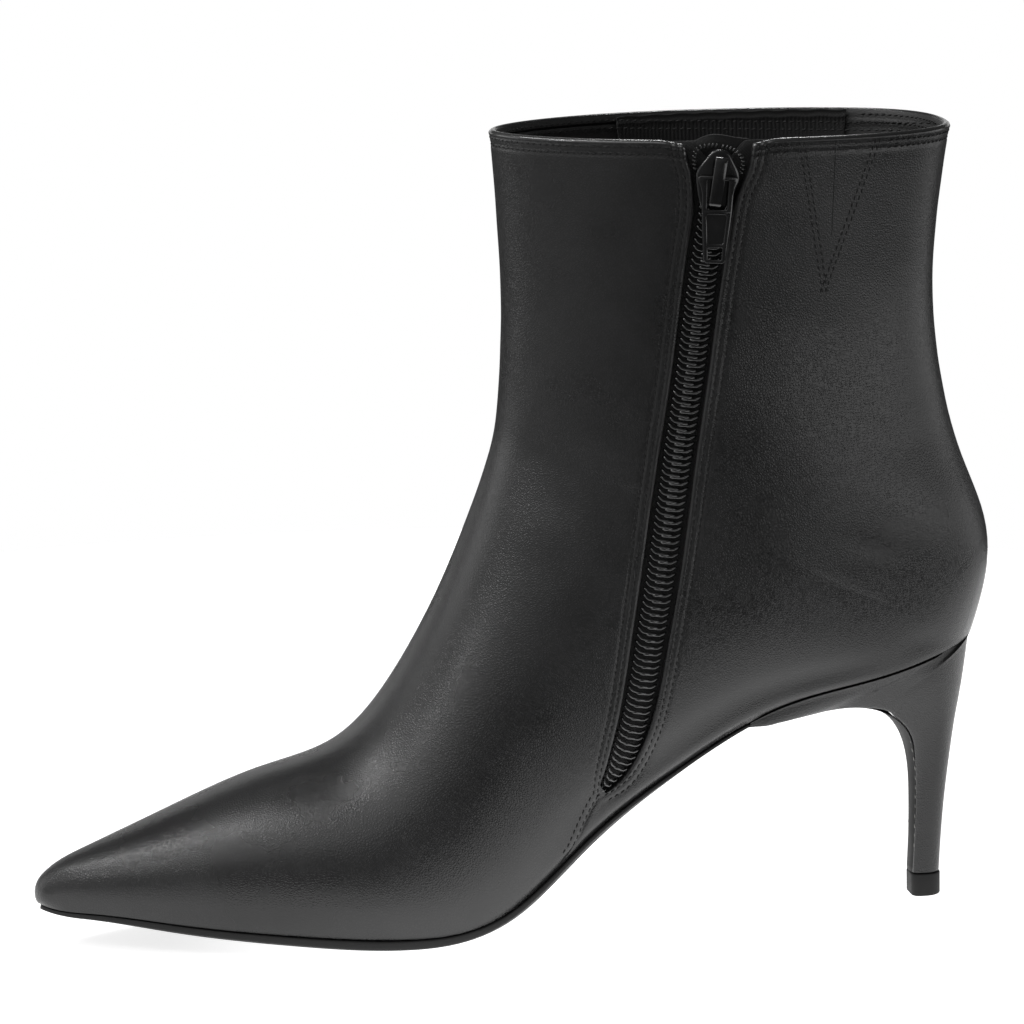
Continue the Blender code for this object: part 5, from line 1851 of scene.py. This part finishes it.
def make_heel():
    """The covered heel, lofted through its rows from the lift up to the tongue."""
    value = heel_rows()
    shares = np.linspace(0, 1, HEEL_ARC + 1)
    loops = []
    for i in range(len(value["front_x"])):
        front = np.array([value["front_x"][i], value["front_z"][i]])
        back = np.array([value["back_x"][i], value["back_z"][i]])
        side, widest = value["side_half"][i], value["widest"][i]
        arc = []
        for share in shares:
            angle = share * math.pi
            end = value["front_half"][i] if share <= 0.5 else value["seat_half"][i]
            reach = widest if share <= 0.5 else 1 - widest
            along = widest - reach * math.cos(angle)
            round_part = math.sin(angle)
            if share > 0.5:
                round_part = max(round_part, 0.0) ** value["back_power"][i]
            y = end + (side - end) * round_part
            x, z = front + along * (back - front)
            arc.append((x, y, z))
        loops.append([(x, -y, z) for x, y, z in arc] + arc[::-1])
    points, faces = closed_loft(np.array(loops))
    made = face_out(make_piece("heel_cover", points, faces, (heel_leather,)))
    made.data.set_sharp_from_angle(angle=math.radians(HEEL_SHARP_ANGLE))
    return made


finish_piece(make_heel(), "boot", "heel_leather", "heel")


def make_lift():
    """A D-shaped block: straight in front, round behind."""
    straight = LIFT_BACK - LIFT_HALF
    corner = LIFT_FRONT + LIFT_CORNER
    outline = []
    for angle in np.linspace(math.pi, 1.5 * math.pi, LIFT_CORNER_STEPS):
        y = LIFT_CORNER - LIFT_HALF + LIFT_CORNER * math.sin(angle)
        outline.append((corner + LIFT_CORNER * math.cos(angle), y))
    for angle in np.linspace(-math.pi / 2, math.pi / 2, LIFT_BACK_STEPS):
        outline.append((straight + LIFT_HALF * math.cos(angle), LIFT_HALF * math.sin(angle)))
    outline += [(x, -y) for x, y in outline[LIFT_CORNER_STEPS - 1 :: -1]]
    points, faces = prism(outline, 0.0, LIFT_HEIGHT)
    return bevelled("top_lift_block", points, faces, lift_rubber, width=0.45, segments=3, limit=50.0)


finish_piece(make_lift(), "boot", "lift", "top_lift")

# Dried glue along the flap's edge, on the inner and the outer side; its pale colour also paints the highlight
# along that edge
GLUE_AND_HIGHLIGHT_LINE = ((103.5, 42.0, 5.9), (104.75, 36.0, 4.75), (105.2, 26.0, 3.75), (104.95, 13.5, 3.35))
GLUE_AND_HIGHLIGHT_SAMPLES = 40
GLUE_AND_HIGHLIGHT_WANDER = 0.15
GLUE_AND_HIGHLIGHT_WANDER_LENGTH = 2.1
GLUE_AND_HIGHLIGHT_SEED = 3.0


def glue_and_highlight_lines():
    """A line that wanders a little down each edge of the flap."""
    path = np.array(GLUE_AND_HIGHLIGHT_LINE)
    run = run_along(*path.T)
    where = np.linspace(0, run[-1], GLUE_AND_HIGHLIGHT_SAMPLES)
    x, z, y = (spline(run, values)(where) for values in path.T)
    wander = np.array([noise.noise(Vector((w / GLUE_AND_HIGHLIGHT_WANDER_LENGTH, 0.0, GLUE_AND_HIGHLIGHT_SEED))) for w in where])
    lines = []
    for sign in SIGN.values():
        points = np.c_[x + GLUE_AND_HIGHLIGHT_WANDER * wander, sign * y, z]
        lines.append((points, np.tile((0.0, float(sign), 0.0), (GLUE_AND_HIGHLIGHT_SAMPLES, 1))))
    return lines


glue_specks = beaded("glue_specks", glue_and_highlight_lines(), pitch=2.6, length=1.5, width=0.32, slant=5.0, material=glue_and_highlight)
finish_piece(glue_specks, "boot", "sole")
insole = frame["nodes"]["insole"]
insole.material_slots[0].material = insole_leather


# Stage: a pale table, soft lights and the camera
TABLE_RADIUS = 370.0
TABLE_BACK = 188.0
TABLE_SIDES = 64
GLOW_MIDDLE = (0.03, -0.02, 0.0)
GLOW_START = 0.04
GLOW_REACH = 0.13
GLOW_NEAR = 1.55
GLOW_FAR = 0.75


def make_stage():
    """A round pale table that glows with painted light, brightest under the boot, and so lights it from
    below.
    """
    finish = Finish("stage_pale_painted_glow")
    smudge = finish.group(smudge_group, Patches_per_metre=1.5, Scuffs_per_metre=60.0)
    finish.colour(smudge["Patches"], grey(0.80), grey(0.84))
    ends = {0: finish.place, 1: GLOW_MIDDLE}
    reach = add_node(finish.tree, "ShaderNodeVectorMath", ends, operation="DISTANCE").outputs["Value"]
    # Painted light: the table's emission is strongest round a spot under the boot.
    glow = map_range(finish.tree, reach, GLOW_START, GLOW_REACH, GLOW_NEAR, GLOW_FAR, soft=True)
    tint = add_node(finish.tree, "ShaderNodeCombineColor", {"Red": glow, "Green": glow, "Blue": glow})
    finish.tree.links.new(tint.outputs[0], finish.shader.inputs["Emission Color"])
    material = finish.settings(Roughness=0.9, Emission_Strength=1.0)
    turns = np.linspace(0, 2 * math.pi, TABLE_SIDES, endpoint=False)
    rim = [(TABLE_RADIUS * math.cos(a), TABLE_BACK + TABLE_RADIUS * math.sin(a), 0.0) for a in turns]
    floor = make_piece("stage_floor", rim, [tuple(range(len(rim)))], (material,))


BOOT_MIDDLE = (0.0, 0.0, 0.1)
UPRIGHT = (0.0, 0.0, 1.0)
# Lights: place, what they face, width, height, power and the way of their height
LIGHTS = {
    "strip_above_toe": ((-0.81, 0.0, 1.30), (-0.09, -0.02, 0.03), 0.08, 1.0, 6.5, (0.39, -0.89, 0.22)),
    "lamp_collar": ((0.28, 0.84, 1.41), (0.05, 0.0, 0.2), 0.5, 0.12, 6.0, UPRIGHT),
    "panel_right": ((1.70, 0.05, 0.05), BOOT_MIDDLE, 1.8, 0.8, 4.1, UPRIGHT),
    "panel_right_low": ((1.05, -1.17, 0.05), BOOT_MIDDLE, 1.5, 0.5, 4.1, UPRIGHT),
    "panel_front_high": ((-0.55, -0.95, 1.30), BOOT_MIDDLE, 0.9, 0.9, 3.0, UPRIGHT),
    "lamp_left": ((-1.10, -0.50, 0.95), BOOT_MIDDLE, 0.15, 0.15, 1.6, UPRIGHT),
    "panel_left": ((-1.58, 0.74, 0.50), BOOT_MIDDLE, 1.0, 0.8, 3.2, UPRIGHT),
    "strip_behind": ((0.2, 2.2, 0.40), BOOT_MIDDLE, 3.2, 0.5, 3.6, UPRIGHT),
}


def add_light(name, place, target, width, height, power, along):
    """A soft panel that lights the boot and is not seen itself."""
    light = bpy.data.lights.new(name, "AREA")
    light.shape = "RECTANGLE"
    light.size = width
    light.size_y = height
    light.energy = power
    made = new_object(name, light)
    made.location = place
    back = (Vector(place) - Vector(target)).normalized()
    across = Vector(along).cross(back).normalized()
    made.rotation_euler = Matrix((across, back.cross(across), back)).transposed().to_euler()
    made.visible_camera = False


VIEW_AZIMUTH = math.radians(-9.0)
VIEW_ELEVATION = math.radians(10.5)
VIEW_ROLL = math.radians(1.0)
VIEW_DISTANCE = 1.5
VIEW_AIM = Vector((0.0, 0.0, 0.1))
VIEW_SCALE = 0.0002563
FRAME_PIXELS = 1024
SHIFT_PIXELS = (2.0, 24.0)
SENSOR = 36.0


def make_camera():
    """The camera at the photograph's angle, a little rolled."""
    a, e = VIEW_AZIMUTH, VIEW_ELEVATION
    back = Vector((math.sin(a) * math.cos(e), -math.cos(a) * math.cos(e), math.sin(e)))
    right = Vector((math.cos(a), math.sin(a), 0.0))
    up = back.cross(right)
    c, s = math.cos(VIEW_ROLL), math.sin(VIEW_ROLL)
    turn = Matrix((c * right - s * up, s * right + c * up, back)).transposed()
    data = bpy.data.cameras.new("camera")
    data.sensor_width = SENSOR
    data.lens = SENSOR * VIEW_DISTANCE / (FRAME_PIXELS * VIEW_SCALE)
    data.shift_x = SHIFT_PIXELS[0] / FRAME_PIXELS
    data.shift_y = SHIFT_PIXELS[1] / FRAME_PIXELS
    data.dof.use_dof = False
    data.clip_end = 20.0
    made = new_object("camera", data)
    made.matrix_world = Matrix.Translation(VIEW_AIM + VIEW_DISTANCE * back) @ turn.to_4x4()
    bpy.context.scene.camera = made


AIR_BRIGHT_WAY = (-0.8, -0.25, 0.55)
AIR_LIGHT = (0.07, 0.75)
AIR_POWER = 1.6


def make_world():
    """Soft air round the table: brighter to the left and above, plain white where it is looked at."""
    world = bpy.data.worlds.new("studio")
    world.use_nodes = True
    tree = world.node_tree
    air = tree.nodes["Background"]
    way = add_node(tree, "ShaderNodeTexCoord").outputs["Generated"]
    ways = {0: way, 1: AIR_BRIGHT_WAY}
    facing = add_node(tree, "ShaderNodeVectorMath", ways, operation="DOT_PRODUCT").outputs["Value"]
    share = math_node(tree, "POWER", math_node(tree, "MAXIMUM", facing, 0.0), AIR_POWER)
    light = map_range(tree, share, 0.0, 1.0, *AIR_LIGHT)
    seen = add_node(tree, "ShaderNodeLightPath").outputs["Is Camera Ray"]
    tree.links.new(math_node(tree, "MAXIMUM", light, seen), air.inputs["Strength"])
    air.inputs["Color"].default_value = (1.0, 1.0, 1.0, 1.0)
    bpy.context.scene.world = world


make_stage()
for light_name, light_values in LIGHTS.items():
    add_light(light_name, *light_values)
make_camera()
make_world()
bpy.context.scene.view_settings.view_transform = "Standard"
